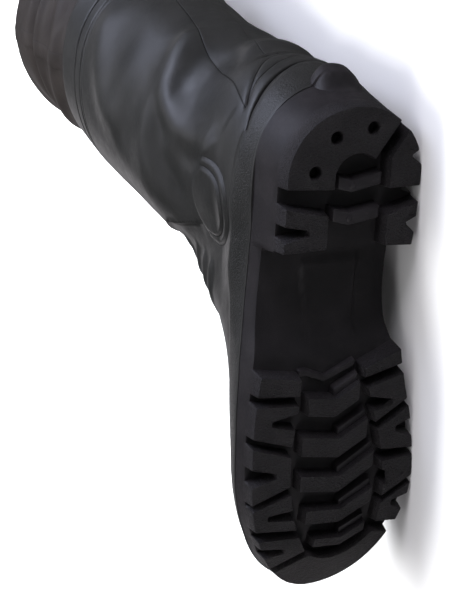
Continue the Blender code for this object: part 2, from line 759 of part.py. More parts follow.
def main():
    for item in list(bpy.data.objects):
        bpy.data.objects.remove(item)
    scene = bpy.context.scene.collection
    boot = bpy.data.collections.new("wader_boot")
    tools = bpy.data.collections.new("cutters")
    scene.children.link(boot)
    scene.children.link(tools)

    black = material("outsole_black", (0.015, 0.014, 0.017), 0.55)
    olive = material("upper_olive_grey", (0.055, 0.055, 0.060), 0.38)
    cloth = material("leg_cloth_grey", (0.060, 0.052, 0.050), 0.5)
    felt = material("insole_felt", (0.12, 0.12, 0.11), 0.9)

    outsole = add_object("outsole", mesh_from("outsole", build_body), boot)
    for name, build, operation in (
        ("lugs", build_lugs, "UNION"),
        ("spur", build_spur, "UNION"),
        ("holes", build_holes, "DIFFERENCE"),
    ):
        combine(outsole, add_tool(name, build, tools), operation)

    upper = add_object("upper", mesh_from("upper", build_upper), boot)
    shell(upper, UPPER_WALL)
    insole = add_object("insole", mesh_from("insole", build_insole), boot)
    leg = add_object("leg", mesh_from("leg", build_leg), boot)
    shell(leg, LEG_WALL)

    parts = (outsole, upper, insole, leg)
    for part, coat in zip(parts, (black, olive, felt, cloth)):
        part.data.materials.append(coat)

    lie = bpy.data.objects.new("lie", None)
    boot.objects.link(lie)
    lie.matrix_world = resting_pose(parts)
    for item in (*parts, *tools.objects):
        item.parent = lie


main()
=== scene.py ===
"""Looks of a left wader boot: olive-grey moulded upper, black cleated outsole and cloth leg.

Sizes are millimetres in the boot's own frame until a piece is placed.
X runs to the inner side, Y to the toe and Z up from the tread plane.
"""

from collections import namedtuple
import json
import math

import bmesh
import bpy
from mathutils import Matrix, Vector, noise
import numpy as np


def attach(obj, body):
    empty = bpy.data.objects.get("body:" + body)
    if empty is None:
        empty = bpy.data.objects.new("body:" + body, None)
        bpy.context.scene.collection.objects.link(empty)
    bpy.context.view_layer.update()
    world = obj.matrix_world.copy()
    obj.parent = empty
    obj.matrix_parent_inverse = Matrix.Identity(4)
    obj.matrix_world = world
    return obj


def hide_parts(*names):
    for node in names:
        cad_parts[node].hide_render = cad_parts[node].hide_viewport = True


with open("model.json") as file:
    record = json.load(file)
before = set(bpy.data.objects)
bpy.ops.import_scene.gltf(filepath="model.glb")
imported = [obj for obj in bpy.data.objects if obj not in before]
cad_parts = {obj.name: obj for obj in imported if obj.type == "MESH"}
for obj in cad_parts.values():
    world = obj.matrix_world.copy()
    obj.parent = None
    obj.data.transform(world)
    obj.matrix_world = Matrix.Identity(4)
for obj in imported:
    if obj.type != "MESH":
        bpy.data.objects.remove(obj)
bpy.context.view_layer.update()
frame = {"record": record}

MM = 0.001
LATERAL = -1
MEDIAL = 1


def table(columns, *rows):
    """Rows of values under named columns."""
    row_of = namedtuple("Row", columns)
    return tuple(row_of(*row) for row in rows)


UPPER_WALL = 3.0
LEG_WALL = 0.9
INSOLE_THICK = 4.0
INSOLE_DRAW = 1.0
JOINT_GAP = 0.35
INSOLE_CLEAR = 3.0 * JOINT_GAP
LEG_CLEAR = 1.5 * JOINT_GAP

SOLE_LENGTH = 297.6
BALL_WIDTH = 103.0
INSTEP_HEIGHT = 101.0
HEEL_HEIGHT = 37.0
HEEL_BACK = -0.6
HEEL_BACK_X = 1.0
HEEL_RAKE = 1.4
TOE_TIP = HEEL_BACK + SOLE_LENGTH
TOE_TIP_X = -4.0
RAND_HEIGHT = 20.0
RAND_PROUD = 1.0
COLLAR_HEIGHT = 338.0
WALL_TOP = COLLAR_HEIGHT - 1.5
HEEL_BREAST = (84.0, 87.0)

# Place on the tread that the record's heel mount stands for.
HEEL_MOUNT = (3.0, 17.0)

# Outline of the sole at its top edge, in shares of its length and of the ball width.
HEEL_ROUND_SHARE = 0.140
TOE_ROUND_SHARE = 0.748
SOLE_SIDES = table(
    "share lateral medial",
    (HEEL_ROUND_SHARE, 0.403, 0.417), (0.237, 0.403, 0.408), (0.338, 0.413, 0.374),
    (0.439, 0.442, 0.364), (0.540, 0.481, 0.403), (0.640, 0.498, 0.471),
    (TOE_ROUND_SHARE, 0.490, 0.505), (0.882, 0.463, 0.500),
)
HEEL_ARC_FROM = HEEL_BACK + HEEL_ROUND_SHARE * SOLE_LENGTH
TOE_ARC_FROM = HEEL_BACK + TOE_ROUND_SHARE * SOLE_LENGTH

# Heights along the sole, and how far its underside draws in from the top edge.
SOLE_HEIGHTS = table(
    "y top under tread draw",
    (0.0, HEEL_HEIGHT, 11.0, 0.0, 1.8), (HEEL_BREAST[0], HEEL_HEIGHT, 11.0, 0.0, 1.8),
    (HEEL_BREAST[1], HEEL_HEIGHT, 27.5, 0.0, 2.0), (110.0, 36.0, 26.5, 0.0, 2.0),
    (130.0, 32.5, 22.0, 0.0, 1.8),
    (148.0, 28.0, 12.0, 0.0, 0.4), (165.0, 24.0, 9.0, 0.0, 0.0), (200.0, 20.5, 9.0, 0.0, 0.0),
    (228.0, 20.5, 9.0, 0.0, 0.0), (255.0, 23.0, 12.2, 3.2, 0.2), (280.0, 27.5, 18.0, 9.0, 0.5),
    (297.0, 32.0, 23.5, 14.5, 1.0),
)

# Inner ends of the side lugs.
CHANNELS = table(
    "y lateral medial",
    (30.0, 13.5, 21.5), (84.0, 13.5, 21.5), (155.0, 23.0, 15.5), (170.0, 23.5, 20.0),
    (188.0, 25.0, 25.0), (200.0, 26.5, 29.0), (213.0, 26.5, 31.0), (230.0, 24.5, 33.0),
    (245.0, 21.0, 32.5), (256.0, 17.0, 31.5), (268.0, 11.0, 28.0),
)

# Side lugs: where the slots round each one cross the sole's edge and the channel, and its notch.
LUGS = table(
    "side rear_outer rear_inner fore_outer fore_inner notch notch_at notch_half notch_reach",
    (LATERAL, 57.0, 62.5, 82.3, 81.5, "outer", 71.5, 4.5, 15.0),
    (MEDIAL, 17.0, 32.0, 48.5, 49.0, "outer", 32.5, 4.0, 5.0),
    (MEDIAL, 57.5, 64.0, 82.3, 81.5, "outer", 70.5, 4.5, 6.0),
    (LATERAL, 152.5, 156.5, 164.5, 166.5, "none", 0.0, 0.0, 0.0),
    (LATERAL, 170.5, 172.0, 189.5, 197.0, "inner", 181.8, 5.0, 15.0),
    (LATERAL, 195.5, 203.5, 231.0, 222.0, "outer", 214.0, 5.5, 15.0),
    (LATERAL, 235.0, 227.0, 249.5, 252.0, "inner", 241.0, 3.5, 16.0),
    (LATERAL, 256.5, 257.0, 278.0, 268.0, "outer", 266.0, 3.5, 14.0),
    (MEDIAL, 144.0, 153.5, 153.0, 159.5, "none", 0.0, 0.0, 0.0),
    (MEDIAL, 159.0, 166.0, 175.0, 188.0, "inner", 176.0, 4.5, 12.5),
    (MEDIAL, 180.0, 192.5, 206.5, 205.5, "outer", 193.5, 5.5, 10.0),
    (MEDIAL, 211.0, 213.0, 224.5, 236.0, "inner", 223.5, 4.5, 12.5),
    (MEDIAL, 229.0, 240.5, 254.5, 253.5, "outer", 241.5, 5.0, 9.0),
)
NOTCH_TIP_HALF = 1.5
LUG_DRAFT = 1.2
LUG_EDGE_INSET = 0.7
LUG_BASE_INSET = -0.3
TOP_EDGE_PROUD = 0.8
LUG_SINK = 1.5
LUG_CORNER = 0.9
LUG_BEVEL = 0.7
CORNER_TURN = math.radians(24.0)
CORNER_REACH = 0.4
CORNER_STEPS = (0.0, 0.33, 0.67, 1.0)
MITRE_LEAST = 0.6
BLOCK_LEAST = 0.5

# Steps of a block's bevel: how far in and how deep, in shares of it.
BEVEL_STEPS = ((1.0, 0.0), (0.32, 0.30), (0.0, 1.0))

# Bars across the middle of the tread, bent forward at a vertex.
CHEVRONS = table(
    "vertex_x rear fore left right left_sweep right_sweep drop",
    (0.5, 43.8, 50.5, -8.0, 17.5, 0.25, 0.22, 2.5), (0.0, 62.0, 69.0, -10.0, 17.5, 0.26, 0.18, 2.5),
    (-1.0, 170.5, 181.5, -18.0, 13.5, 0.14, 0.62, 0.0),
    (3.0, 195.0, 207.0, -20.5, 20.0, 0.14, 0.62, 0.0),
    (4.5, 219.0, 229.0, -20.0, 25.5, 0.12, 0.66, 0.0),
    (7.5, 240.5, 250.0, -14.5, 26.5, 0.06, 0.62, 0.0),
    (10.5, 261.0, 267.0, -6.5, 25.0, 0.05, 0.60, 0.0),
)
CHEVRON_DRAFT = 1.0
LEDGE_REACH = 4.5
LEDGE_DROP = 3.8
LEDGE_SHORT = 0.6
LEDGE_LAP = 2.0
LEDGE_CORNER = 0.8
LEDGE_BEVEL = 0.5
LEDGE_FROM_Y = 150.0

# Low zigzag ridge behind the first bar of the forefoot, and the bare tablet under the waist.
ZIGZAG = ((-22.0, 155.6), (-17.0, 155.6), (-6.0, 160.0), (12.0, 152.0))
ZIGZAG_HALF = 1.8
ZIGZAG_DROP = 7.0
ZIGZAG_DRAFT = 0.5
ZIGZAG_CORNER = 0.6
ZIGZAG_BEVEL = 0.4
TABLET_Y = (95.0, 139.0)
TABLET_LEFT = (-16.0, -13.0)
TABLET_RIGHT = (19.0, 15.0)
TABLET_PROUD = 1.1
TABLET_EDGE = 0.6

# Rim round the back of the heel, and the crescent round the toe.
RIM_LATERAL_END = 46.5
RIM_LATERAL_INNER = 48.0
RIM_MEDIAL_END = 11.5
POCKET_X = 2.5
POCKET_Y = 42.0
POCKET_RADIUS = 13.5
POCKET_MEDIAL_TURN = 315.0
TOE_LATERAL_END = 281.5
TOE_MEDIAL_END = 262.0
TOE_INNER_ENDS_X = (-8.0, 30.5)
TOE_INNER_ENDS_Y = (271.5, 260.0)
TOE_INNER_RISE = 9.0

# Core holes of the heel and the wedges cut in its inner wall.
HEEL_HOLES = ((-11.6, 19.4), (9.6, 15.0), (-23.0, 38.0))
HEEL_SCALLOPS = ((32.5, 3.4), (53.0, 3.0), (70.5, 3.4))
SCALLOP_REACH = 7.0
SCALLOP_LEVELS = ((-1.0, 1.0), (11.0, 0.8), (25.0, 0.2))
SCALLOP_OUTSIDE = 6.0
SCALLOP_MOUTH = 2.0
SCALLOP_TIP = 0.2
HEEL_HOLE_RADIUS = 3.5
HOLE_PROFILE = ((1.2, -0.6), (0.0, 0.6), (-0.15, 7.0), (-1.2, 8.0))
HOLE_SIDES = 28

# Where the outsole's finish is coarse, where the toe is painted paler for the light it catches and
# partly for dust, and where its hollows are painted with shade.
TREAD_FADE = (0.4, 1.2)
TOE_DUST_AND_LIGHT_Y = (256.0, 284.0)
HOLLOW_SHADE_RISE = (4.0, 10.0)
HOLLOW_SHADE_FACING = (0.5, 0.8)

# Kick-off spur at the back of the heel, by height.
SPURS = table(
    "z reach half",
    (22.0, -1.0, 6.0), (26.0, 0.6, 11.5), (31.0, 4.8, 14.5), (36.4, 9.0, 15.5), (37.2, 8.3, 15.5),
    (41.0, 8.8, 14.5), (45.0, 7.6, 12.5), (48.0, 5.4, 9.5), (50.0, 2.6, 6.5),
)
SPUR_RUNS = ((22.0, 36.4, 13), (37.2, 50.0, 15))
SPUR_X = 4.0
SPUR_ROOT = 2.5
SPUR_SUNK = 1.5
SPUR_SQUARENESS = 3.0

# Heel, ankle and shaft by height: back and front on the centre line, and the half width to each side.
COLUMNS = table(
    "z back front lateral medial",
    (37.0, -0.6, 96.0, 41.5, 43.0), (57.0, -5.0, 104.0, 44.5, 44.5), (75.0, -7.5, 112.0, 46.0, 45.5),
    (92.0, -7.0, 120.0, 47.0, 46.0), (110.0, -4.5, 127.0, 47.5, 46.5), (130.0, -1.5, 131.0, 50.0, 49.5),
    (150.0, -1.5, 133.0, 54.5, 54.0), (180.0, -8.5, 133.0, 60.5, 60.0),
    (230.0, -14.0, 130.0, 61.5, 61.0), (280.0, -18.0, 127.5, 62.5, 61.0),
    (340.0, -27.0, 119.0, 63.2, 62.0),
)
COLUMN_POWER = 2.15

# Crest of the foot on its centre line.
CRESTS = table(
    "share top ridge_x",
    (0.338, 2.376, 0.0), (0.405, 2.119, 0.0), (0.452, 1.861, 0.0), (0.476, 1.614, 0.5),
    (0.499, 1.386, 1.0), (0.533, 1.168, 1.5), (0.580, 1.000, 2.0), (0.640, 0.871, 3.0),
    (0.708, 0.777, 3.5), (0.775, 0.713, 3.5), (0.842, 0.673, 2.5), (0.909, 0.634, 0.0),
    (0.956, 0.584, -2.0), (0.983, 0.525, -3.0), (0.998, 0.450, -3.8), (1.007, 0.356, -4.0),
)
FOOT_ROUND = 1.65
FOOT_FADE_FROM = 20.0
FOOT_FADE_TO = 75.0
FOOT_FADE_SHARE = 0.8
BLEND = 8.0
LEVEL_FLAT = 120.0

# Flare of the rand over the sole's waist.
FLARES = table(
    "y lateral medial",
    (25.0, 0.0, 0.0), (55.0, 2.2, 1.2), (80.0, 4.2, 2.8), (104.0, 4.2, 2.8), (124.0, 1.6, 1.2),
    (146.0, 0.0, 0.0),
)
FLARE_FADE = 26.0

# Ankle guard: a ring and a disc moulded on the outer side, soft towards the shaft.
GUARD_Y = 78.0
GUARD_Z = 91.5
GUARD_RING = (26.0, 30.0)
GUARD_DISC = (20.5, 24.5)
GUARD_RING_PROUD = 1.9
GUARD_DISC_PROUD = 1.6
GUARD_DOME = 0.7
GUARD_DISC_LIFT = 1.0
GUARD_SOFT = (0.10, 0.40)
GUARD_SOFT_Z = (GUARD_Z + 4.0, GUARD_Z + 26.0)
GUARD_CRISP_Z = GUARD_Z + 9.0

# Rand: where its stippled band ends, its chamfer, its lower bead and its grains.
RAND_TOPS = table(
    "along rise",
    (0.0, 29.0), (6.0, 28.2), (14.0, 24.5), (24.0, 19.5), (34.0, 17.3), (56.0, 16.8), (90.0, 17.8),
    (130.0, 19.5), (400.0, 19.5),
)
RAND_CHAMFER = 4.5
BEAD_AT = 1.0
BEAD_HALF = 0.7
BEAD_PROUD = 0.3
STIPPLE_RISE = (2.2, 2.8)
STIPPLE_FALL = (0.8, 0.2)
GRAINS_FROM = 2.6
GRAINS_SHORT = 0.6
GRAIN_SIZES = (0.7, 1.25)
STIPPLE = {
    "Spacing": 1.0 * MM,
    "Density": 2000000.0,
    "Radius": 0.62 * MM,
    "Flatness": 0.5,
    "Sink": -0.25 * MM,
    "Seed": 7,
}

# Welded leg above the collar: centre and half sizes by height.
LEGS = table(
    "z centre half_long half_wide",
    (352.0, 44.5, 69.5, 59.5), (366.0, 44.0, 71.0, 61.5), (385.0, 44.0, 72.0, 62.5),
    (420.0, 43.0, 74.0, 64.0), (458.0, 42.0, 76.0, 65.5),
)
LEG_TUCK = 22.0
LEG_COUNT = 256
LEG_STEP = 1.8
LEG_LEAVES = 1.0
LEG_END_SLACK = 0.1
LEG_FREE_Z = (COLLAR_HEIGHT + 2.0, COLLAR_HEIGHT + 26.0)
LEG_WAVE_SCALE = 0.03
LEG_WAVE_PROUD = 1.2

# Folds of the leg: turn round the leg from the back by the lateral side, height, half sizes and depth.
FOLD_LEAN = 1e-4
FOLDS = table(
    "turn z lean half_turn half_z depth",
    (0.20, 402.0, 0.0, 0.20, 5.0, 3.0), (0.22, 418.0, 0.0, 0.24, 8.0, -6.5),
    (0.30, 372.0, 60.0, 0.045, 30.0, 2.0), (0.15, 380.0, -50.0, 0.035, 26.0, 1.8),
    (0.40, 390.0, 40.0, 0.05, 40.0, 2.4), (0.47, 420.0, -40.0, 0.04, 30.0, -2.2),
    (0.06, 400.0, 30.0, 0.04, 34.0, -2.0), (0.58, 400.0, 50.0, 0.05, 38.0, 2.2),
    (0.70, 410.0, -30.0, 0.05, 40.0, -2.2), (0.84, 390.0, 40.0, 0.05, 36.0, 2.0),
    (0.93, 425.0, -40.0, 0.04, 30.0, -2.2),
)

# Slit where the cloth stands off the collar, and the seam tape up the leg's outer side.
SLIT_TURN = 0.25
SLIT_HALF_TURN = 0.055
SLIT_HALF_Z = 7.0
SLIT_DEPTH = 5.5
SLIT_RISE = 1.0
TAPE_TURNS = (0.250, 0.276)
TAPE_ROUND = 430.0
TAPE_PROUD = 0.5
TAPE_EDGE = 0.8
TAPE_NEAR = 60.0
TAPE_LOW = 347.0
LEG_LINES = table(
    "name half share",
    ("tape_rear", 0.5, 0.35), ("tape_fore", 0.5, 0.35), ("tape_low", 0.5, 0.3),
)

# Creases and lines of the upper, along points on its surface.
# A ridge stands up and a trough lies deep by its height, within its half width.
HEEL_GROOVE = (
    (-41.3, 25.9, 54.8), (-39.0, 20.5, 56.7), (-32.9, 10.3, 60.1), (-24.5, 1.5, 63.4),
    (-14.3, -4.4, 66.7), (-4.1, -7.0, 69.6), (6.0, -7.0, 71.5), (16.0, -4.5, 69.0), (25.0, 0.5, 64.0),
    (33.0, 9.0, 60.1), (38.5, 18.0, 57.0), (41.0, 25.0, 54.8),
)
RIB_LOW = (
    (-36.5, 16.7, 66.9), (-29.2, 5.6, 73.2), (-20.7, -1.9, 76.4), (-9.5, -6.2, 81.6), (3.5, -6.9, 86.3),
    (14.0, -4.5, 83.0), (24.0, 0.0, 76.0), (31.0, 6.0, 72.0), (37.0, 16.0, 67.0),
)
RIB_HIGH = (
    (-36.2, 15.5, 67.8), (-30.2, 5.5, 76.3), (-21.5, -1.3, 86.3), (-13.7, -4.7, 93.1),
    (-5.6, -6.0, 94.5), (6.0, -6.5, 95.0), (16.0, -4.0, 91.0), (26.0, 1.0, 81.0), (33.0, 8.0, 72.0),
    (36.5, 15.5, 67.8),
)
MOULD_LINE = (
    (-14.0, -16.5, 264.0), (-17.9, -13.0, 231.0), (-21.0, -7.0, 195.5), (-31.6, 9.0, 108.1),
    (-37.2, 17.3, 66.9),
)
BACK_LINE = (
    (22.0, -14.0, 264.0), (13.0, -12.0, 231.9), (4.1, -8.5, 187.3), (2.0, -3.0, 160.0),
    (-8.0, -3.0, 120.0), (-10.5, -4.0, 103.0),
)
COUNTER_EDGE = (
    (-40.0, 22.0, 72.0), (-41.5, 26.0, 75.0), (-44.0, 35.0, 79.0), (-46.0, 45.0, 89.0),
    (-47.0, 52.0, 99.0),
)
PANEL_EDGE = (
    (-30.0, 124.0, 184.0), (-40.0, 116.0, 172.0), (-43.6, 111.0, 160.0), (-43.0, 106.5, 144.0),
    (-42.7, 102.5, 130.0), (-42.0, 100.0, 121.0),
)
CREASES = table(
    "name height half points",
    (
        "top shoulder", 3.0, 15.0,
        (
            (-52.0, 12.0, 276.0), (-60.0, 36.0, 258.0), (-62.0, 53.0, 244.0), (-61.0, 60.0, 226.0),
        ),
    ),
    (
        "back shoulder", 1.2, 16.0,
        (
            (-23.0, -9.0, 238.0), (-38.0, 1.0, 222.0), (-51.0, 17.0, 212.0), (-59.0, 36.0, 216.0),
        ),
    ),
    ("dent below", -2.4, 18.0, ((-56.0, 30.0, 188.0), (-60.5, 50.0, 199.0), (-61.0, 66.0, 206.0))),
    (
        "ankle roll", 3.6, 11.0,
        (
            (-29.0, 0.5, 176.0), (-42.0, 14.0, 167.0), (-50.0, 30.0, 160.0), (-50.0, 42.0, 144.0),
            (-47.0, 48.0, 117.0), (-46.0, 46.0, 97.0),
        ),
    ),
    ("ankle hollow", -4.9, 19.0, ((-30.0, 8.0, 143.0), (-41.0, 23.0, 142.0))),
    ("front trough", -3.0, 13.0, ((-55.0, 52.0, 160.0), (-56.0, 66.0, 157.0), (-51.0, 80.0, 140.0))),
    ("front swell", 0.8, 15.0, ((-58.0, 84.0, 204.0), (-55.0, 90.0, 178.0), (-50.0, 92.0, 152.0))),
    ("low trough", -2.0, 9.0, ((-47.0, 58.0, 128.0), (-46.0, 56.0, 112.0))),
    ("back dip", -4.0, 22.0, ((22.0, -8.0, 222.0), (28.0, -4.0, 196.0))),
    ("inner back dip", -4.4, 24.0, ((36.0, -4.0, 282.0), (39.0, -2.0, 255.0), (40.0, 1.0, 232.0))),
    ("inner dip", -1.6, 20.0, ((60.0, 40.0, 250.0), (58.0, 60.0, 205.0))),
    ("inner swell", 0.8, 14.0, ((52.0, 34.0, 160.0), (50.0, 50.0, 136.0))),
)

# Roll of the slack shaft over the heel: its lip, and how far it stands over the ribs below.
ROLL_LIP = (
    (-18.0, -1.0, 101.5), (-6.0, -4.0, 103.5), (6.0, -4.5, 106.0), (16.0, -2.5, 109.0),
    (28.0, 4.0, 114.0),
)
ROLL_PROUD = 6.5
ROLL_RISE = (0.0, 18.0, 22.0, 62.0)
ROLL_ENDS = (-26.0, -3.0, 34.0, 64.0)
ROLL_UNDERCUT = 2.4
ROLL_UNDERCUT_REACH = 4.5
ROLL_LINE_FROM = 0.4
ROLL_LINE_DROP = 1.0

# Slow waves of the slack shaft.
WAVE_SCALE = 0.02
WAVE_RISE = (85.0, 130.0)
WAVE_PROUD = 0.45

# Lines cut into the upper, and the edges of the counter and the front panel.
CUT_LINES = table(
    "name points depth",
    ("heel_groove", HEEL_GROOVE, 2.2),
    ("rib_low", RIB_LOW, 1.5),
    ("rib_high", RIB_HIGH, 1.5),
    ("mould_line", MOULD_LINE, 0.3),
    ("back_line", BACK_LINE, 0.2),
)
CUT_FADE = 1.3
PATH_STEPS = 7
COUNTER_PROUD = 0.25
COUNTER_HALF = 3.0
COUNTER_DIP_AT = 4.0
PANEL_BEAD = 1.0
PANEL_BEAD_HALF = 1.5
PANEL_STEP = 0.5
PANEL_STEP_HALF = 7.0

# Grooves round the collar: height at the back, depth and half width.
COLLAR_GROOVES = table(
    "name z depth half",
    ("collar_groove_high", 310.5, 1.3, 0.95),
    ("collar_groove_low", 299.0, 1.1, 0.9),
    ("collar_crease", 294.5, 0.35, 0.8),
)

# Dark lines in the upper's grooves, cuts and edges, painted as shade with some grime: half width and how
# dark.
LINES = table(
    "name half share",
    ("heel_groove", 1.45, 1.0), ("rib_low", 0.7, 0.8), ("rib_high", 0.65, 0.75), ("roll_lip", 0.8, 0.8),
    ("mould_line", 0.55, 0.7), ("back_line", 0.45, 0.4), ("guard_ring", 0.6, 0.45),
    ("guard_disc", 0.6, 0.6), ("collar_groove_high", 0.7, 0.85), ("collar_groove_low", 0.6, 0.75),
    ("collar_crease", 0.4, 0.3),
)
LINE_FAR = 99.0
LINE_REACH = 2.0
LINE_CORE = 0.35

# Collar, flex ribs on the front of the ankle, and toe cap.
COLLAR_DROOP = 5.0
COLLAR_DROOP_Y = (20.0, 120.0)
COLLAR_CALM_FROM = 322.0
LIP_STEPS = 5
LINING_THINS = (60.0, 75.0)
FLEX_Y = (114.0, 124.0)
FLEX_RIBS = (153.0, 134.0, 116.0, 100.0)
FLEX_PROUD = 1.7
FLEX_HALF = 3.4
TOE_CAP_Y = 243.0
TOE_CAP_SWEEP = 14.0
TOE_CAP_PROUD = 0.8
TOE_CAP_HALF = 45.0
TOE_CAP_EDGE = 1.2
TOE_CAP_LAP = 2.0

# Levels of the upper's rings: fine on the rand and the heel ribs, wider up the shaft.
OUTER_BANDS = table(
    "low high step",
    (HEEL_HEIGHT + JOINT_GAP, 53.0, 0.9), (53.0, 98.0, 0.62), (98.0, 182.0, 1.25), (182.0, 288.0, 2.8),
    (288.0, 316.0, 0.6), (316.0, WALL_TOP, 1.6),
)
INNER_BANDS = table(
    "low high step",
    (HEEL_HEIGHT + JOINT_GAP, 98.0, 3.0), (98.0, WALL_TOP, 7.0),
)

# Points of a ring behind and before the place where its spread changes, on each side.
SPREADS = table("side back front", (LATERAL, 112, 94), (MEDIAL, 38, 38))
PART_FOOT_Y = 110.0
PART_SHAFT_Y = 22.0
PART_FROM = 86.0
PART_TO = 200.0

# Counts of points and steps, and the smallest and largest lengths.
SAMPLES = 900
FINE_SAMPLES = 3000
STATIONS = 170
EDGE_STEPS = 6
ARC_STEPS = 33
SPUR_STEPS = 25
UNDER_STEPS = 62
BODY_WALLS = 5
INSOLE_WALLS = 4
WELD = 0.01
TINY = 1e-9
HUGE = 1e9

# Angles in degrees above which an edge stays sharp.
UPPER_SHARP = 50.0
SOLE_SHARP = 32.0
INSOLE_SHARP = 40.0
LEG_SHARP = 60.0
PIP_SHARP = 60.0

# Small moulded pips on the tread: place, height over it and size.
TREAD_PIPS = table(
    "x y z size",
    (8.0, 5.6, 0.0, 1.4), (-7.4, 9.0, 0.0, 1.4), (-28.0, 28.0, 0.0, 1.4), (33.0, 25.0, 0.0, 2.6),
    (35.0, 44.0, 0.0, 2.6), (36.0, 62.0, 0.0, 2.6), (36.0, 79.0, 0.0, 2.4), (0.5, 47.0, 2.5, 1.9),
    (0.0, 65.5, 2.5, 1.9), (-1.0, 176.5, 0.0, 1.5), (3.0, 201.5, 0.0, 1.5), (4.5, 224.5, 0.0, 1.5),
    (7.5, 245.5, 0.0, 1.5), (10.5, 264.2, 0.0, 1.3),
)
PIP_FLATNESS = 0.3

# Colours of the finishes.
OLIVE = (0.0104, 0.0106, 0.0104)
OLIVE_WORN = (0.0165, 0.0165, 0.0163)
OLIVE_DUST = (0.042, 0.040, 0.038)
# Painted shade, with some grime, for the upper's grooves and moulded lines.
OLIVE_GRIME_AND_SHADE = (0.0035, 0.0035, 0.0035)
BLACK = (0.0090, 0.0081, 0.0092)
BLACK_WORN = (0.0145, 0.0130, 0.0145)
# Dust colour, also painted on the toe as the light it catches.
BLACK_DUST_AND_LIGHT = (0.046, 0.042, 0.042)
# Painted shade for the tread's hollows and slots.
BLACK_HOLLOW_SHADE = (0.0030, 0.0028, 0.0031)
CLOTH = (0.0150, 0.0125, 0.0116)
CLOTH_PALE = (0.0220, 0.0185, 0.0170)
CLOTH_GRIME = (0.004, 0.0035, 0.0033)
FELT = (0.12, 0.12, 0.11)
FELT_PALE = (0.2, 0.2, 0.185)

# Camera in the boot's frame, floor and light.
CAMERA_AT = (-384.73, -189.25, -752.64)
CAMERA_VIEW = (0.36252411, 0.33911803, 0.86808711)
CAMERA_RIGHT = (0.92799177, -0.04532954, -0.36983307)
CAMERA_DOWN = (-0.08606707, 0.9396511, -0.33113179)
CAMERA_LENS = 97.807
CAMERA_SENSOR = 36.0
CAMERA_CLIP = (0.01, 100.0)
FLOOR_HALF = 9.0
FLOOR_COLOUR = (0.86, 0.86, 0.86)

# Soft boxes: place, the point each faces, size, power, colour, and whether the boot mirrors it.
LAMPS = table(
    "name at aim size power colour mirrored",
    ("ceiling", (0.7, 0.2, 2.6), (0.7, 0.2, 0.0), (7.0, 6.0), 80.0, (1.0, 1.0, 1.0), False),
    ("floor_wash", (1.3, 0.7, 2.0), (1.3, 0.7, 0.0), (2.2, 2.2), 60.0, (1.0, 1.0, 1.0), False),
    ("heel_box", (0.78, -1.24, 1.36), (0.0, 0.0, 0.05), (1.9, 1.5), 15.5, (0.74, 0.79, 1.0), True),
    ("ridge_box", (0.17, -0.95, 1.15), (0.0, 0.0, 0.05), (0.8, 0.5), 6.0, (0.74, 0.79, 1.0), True),
    ("left_box", (1.41, -0.07, 1.68), (0.0, 0.0, 0.05), (0.9, 0.9), 1.5, (0.92, 0.93, 1.0), True),
    ("back_wall", (3.9, 1.6, 0.55), (0.0, 0.0, 0.2), (6.0, 1.1), 16.0, (1.0, 0.96, 1.0), True),
    ("tread_light", (-0.75, -1.75, 0.5), (0.0, 0.0, 0.05), (1.0, 0.8), 30.0, (0.98, 0.95, 1.0), False),
    ("toe_light", (-1.3, 1.2, 0.3), (0.0, 0.1, 0.05), (0.7, 0.4), 10.5, (1.0, 0.96, 1.0), True),
    ("spur_box", (-0.75, -1.75, 0.5), (0.0, 0.0, 0.05), (1.0, 0.8), 9.0, (0.86, 0.86, 1.0), True),
)
WASH_SPREAD = math.radians(75.0)
SKY = 0.08


def along(rows, column, at):
    """Value of a table's column at a place along it, by a cubic that never overshoots its rows."""
    place = np.array([row[0] for row in rows], dtype=float)
    value = np.array([getattr(row, column) for row in rows], dtype=float)
    step = np.diff(place)
    slope = np.diff(value) / step
    product = slope[:-1] * slope[1:]
    total = slope[:-1] + slope[1:]
    lean = np.empty_like(value)
    lean[0] = slope[0]
    lean[-1] = slope[-1]
    lean[1:-1] = np.where(product > 0.0, 2.0 * product / np.where(product > 0.0, total, 1.0), 0.0)
    at = np.clip(np.asarray(at, dtype=float), place[0], place[-1])
    cell = np.clip(np.searchsorted(place, at) - 1, 0, len(step) - 1)
    width = step[cell]
    u = (at - place[cell]) / width
    start = value[cell] * (1.0 + 2.0 * u) * (1.0 - u) ** 2 + lean[cell] * width * u * (1.0 - u) ** 2
    return start + value[cell + 1] * u * u * (3.0 - 2.0 * u) + lean[cell + 1] * width * u * u * (u - 1.0)


def ramp(low, high, at):
    """Smooth step from nought to one."""
    u = np.clip((at - low) / (high - low), 0.0, 1.0)
    return u * u * (3.0 - 2.0 * u)


def side_name(side):
    return "lateral" if side == LATERAL else "medial"


def share_of(y):
    return (np.asarray(y, dtype=float) - HEEL_BACK) / SOLE_LENGTH


def sole_end(inset):
    """Back and tip of the sole's outline when it is drawn in."""
    return HEEL_BACK + HEEL_RAKE * inset, TOE_TIP - inset


def sole_x(y, side, inset):
    """Edge of the sole on one side, drawn in from its top outline."""
    y = np.asarray(y, dtype=float)
    half = BALL_WIDTH * along(SOLE_SIDES, side_name(side), share_of(y)) - inset
    back, tip = sole_end(inset)
    heel_u = np.clip((HEEL_ARC_FROM - y) / (HEEL_ARC_FROM - back), 0.0, 1.0)
    toe_u = np.clip((y - TOE_ARC_FROM) / (tip - TOE_ARC_FROM), 0.0, 1.0)
    heel_x = HEEL_BACK_X + (side * half - HEEL_BACK_X) * np.sqrt(1.0 - heel_u ** 2)
    toe_x = TOE_TIP_X + (side * half - TOE_TIP_X) * np.sqrt(1.0 - toe_u ** 2)
    return np.where(y < HEEL_ARC_FROM, heel_x, toe_x)


def sole_top(y):
    return along(SOLE_HEIGHTS, "top", y)


def sole_under(y):
    return along(SOLE_HEIGHTS, "under", y)


def sole_tread(y):
    return along(SOLE_HEIGHTS, "tread", y)


def sole_draw(y):
    return along(SOLE_HEIGHTS, "draw", y)


# Placing


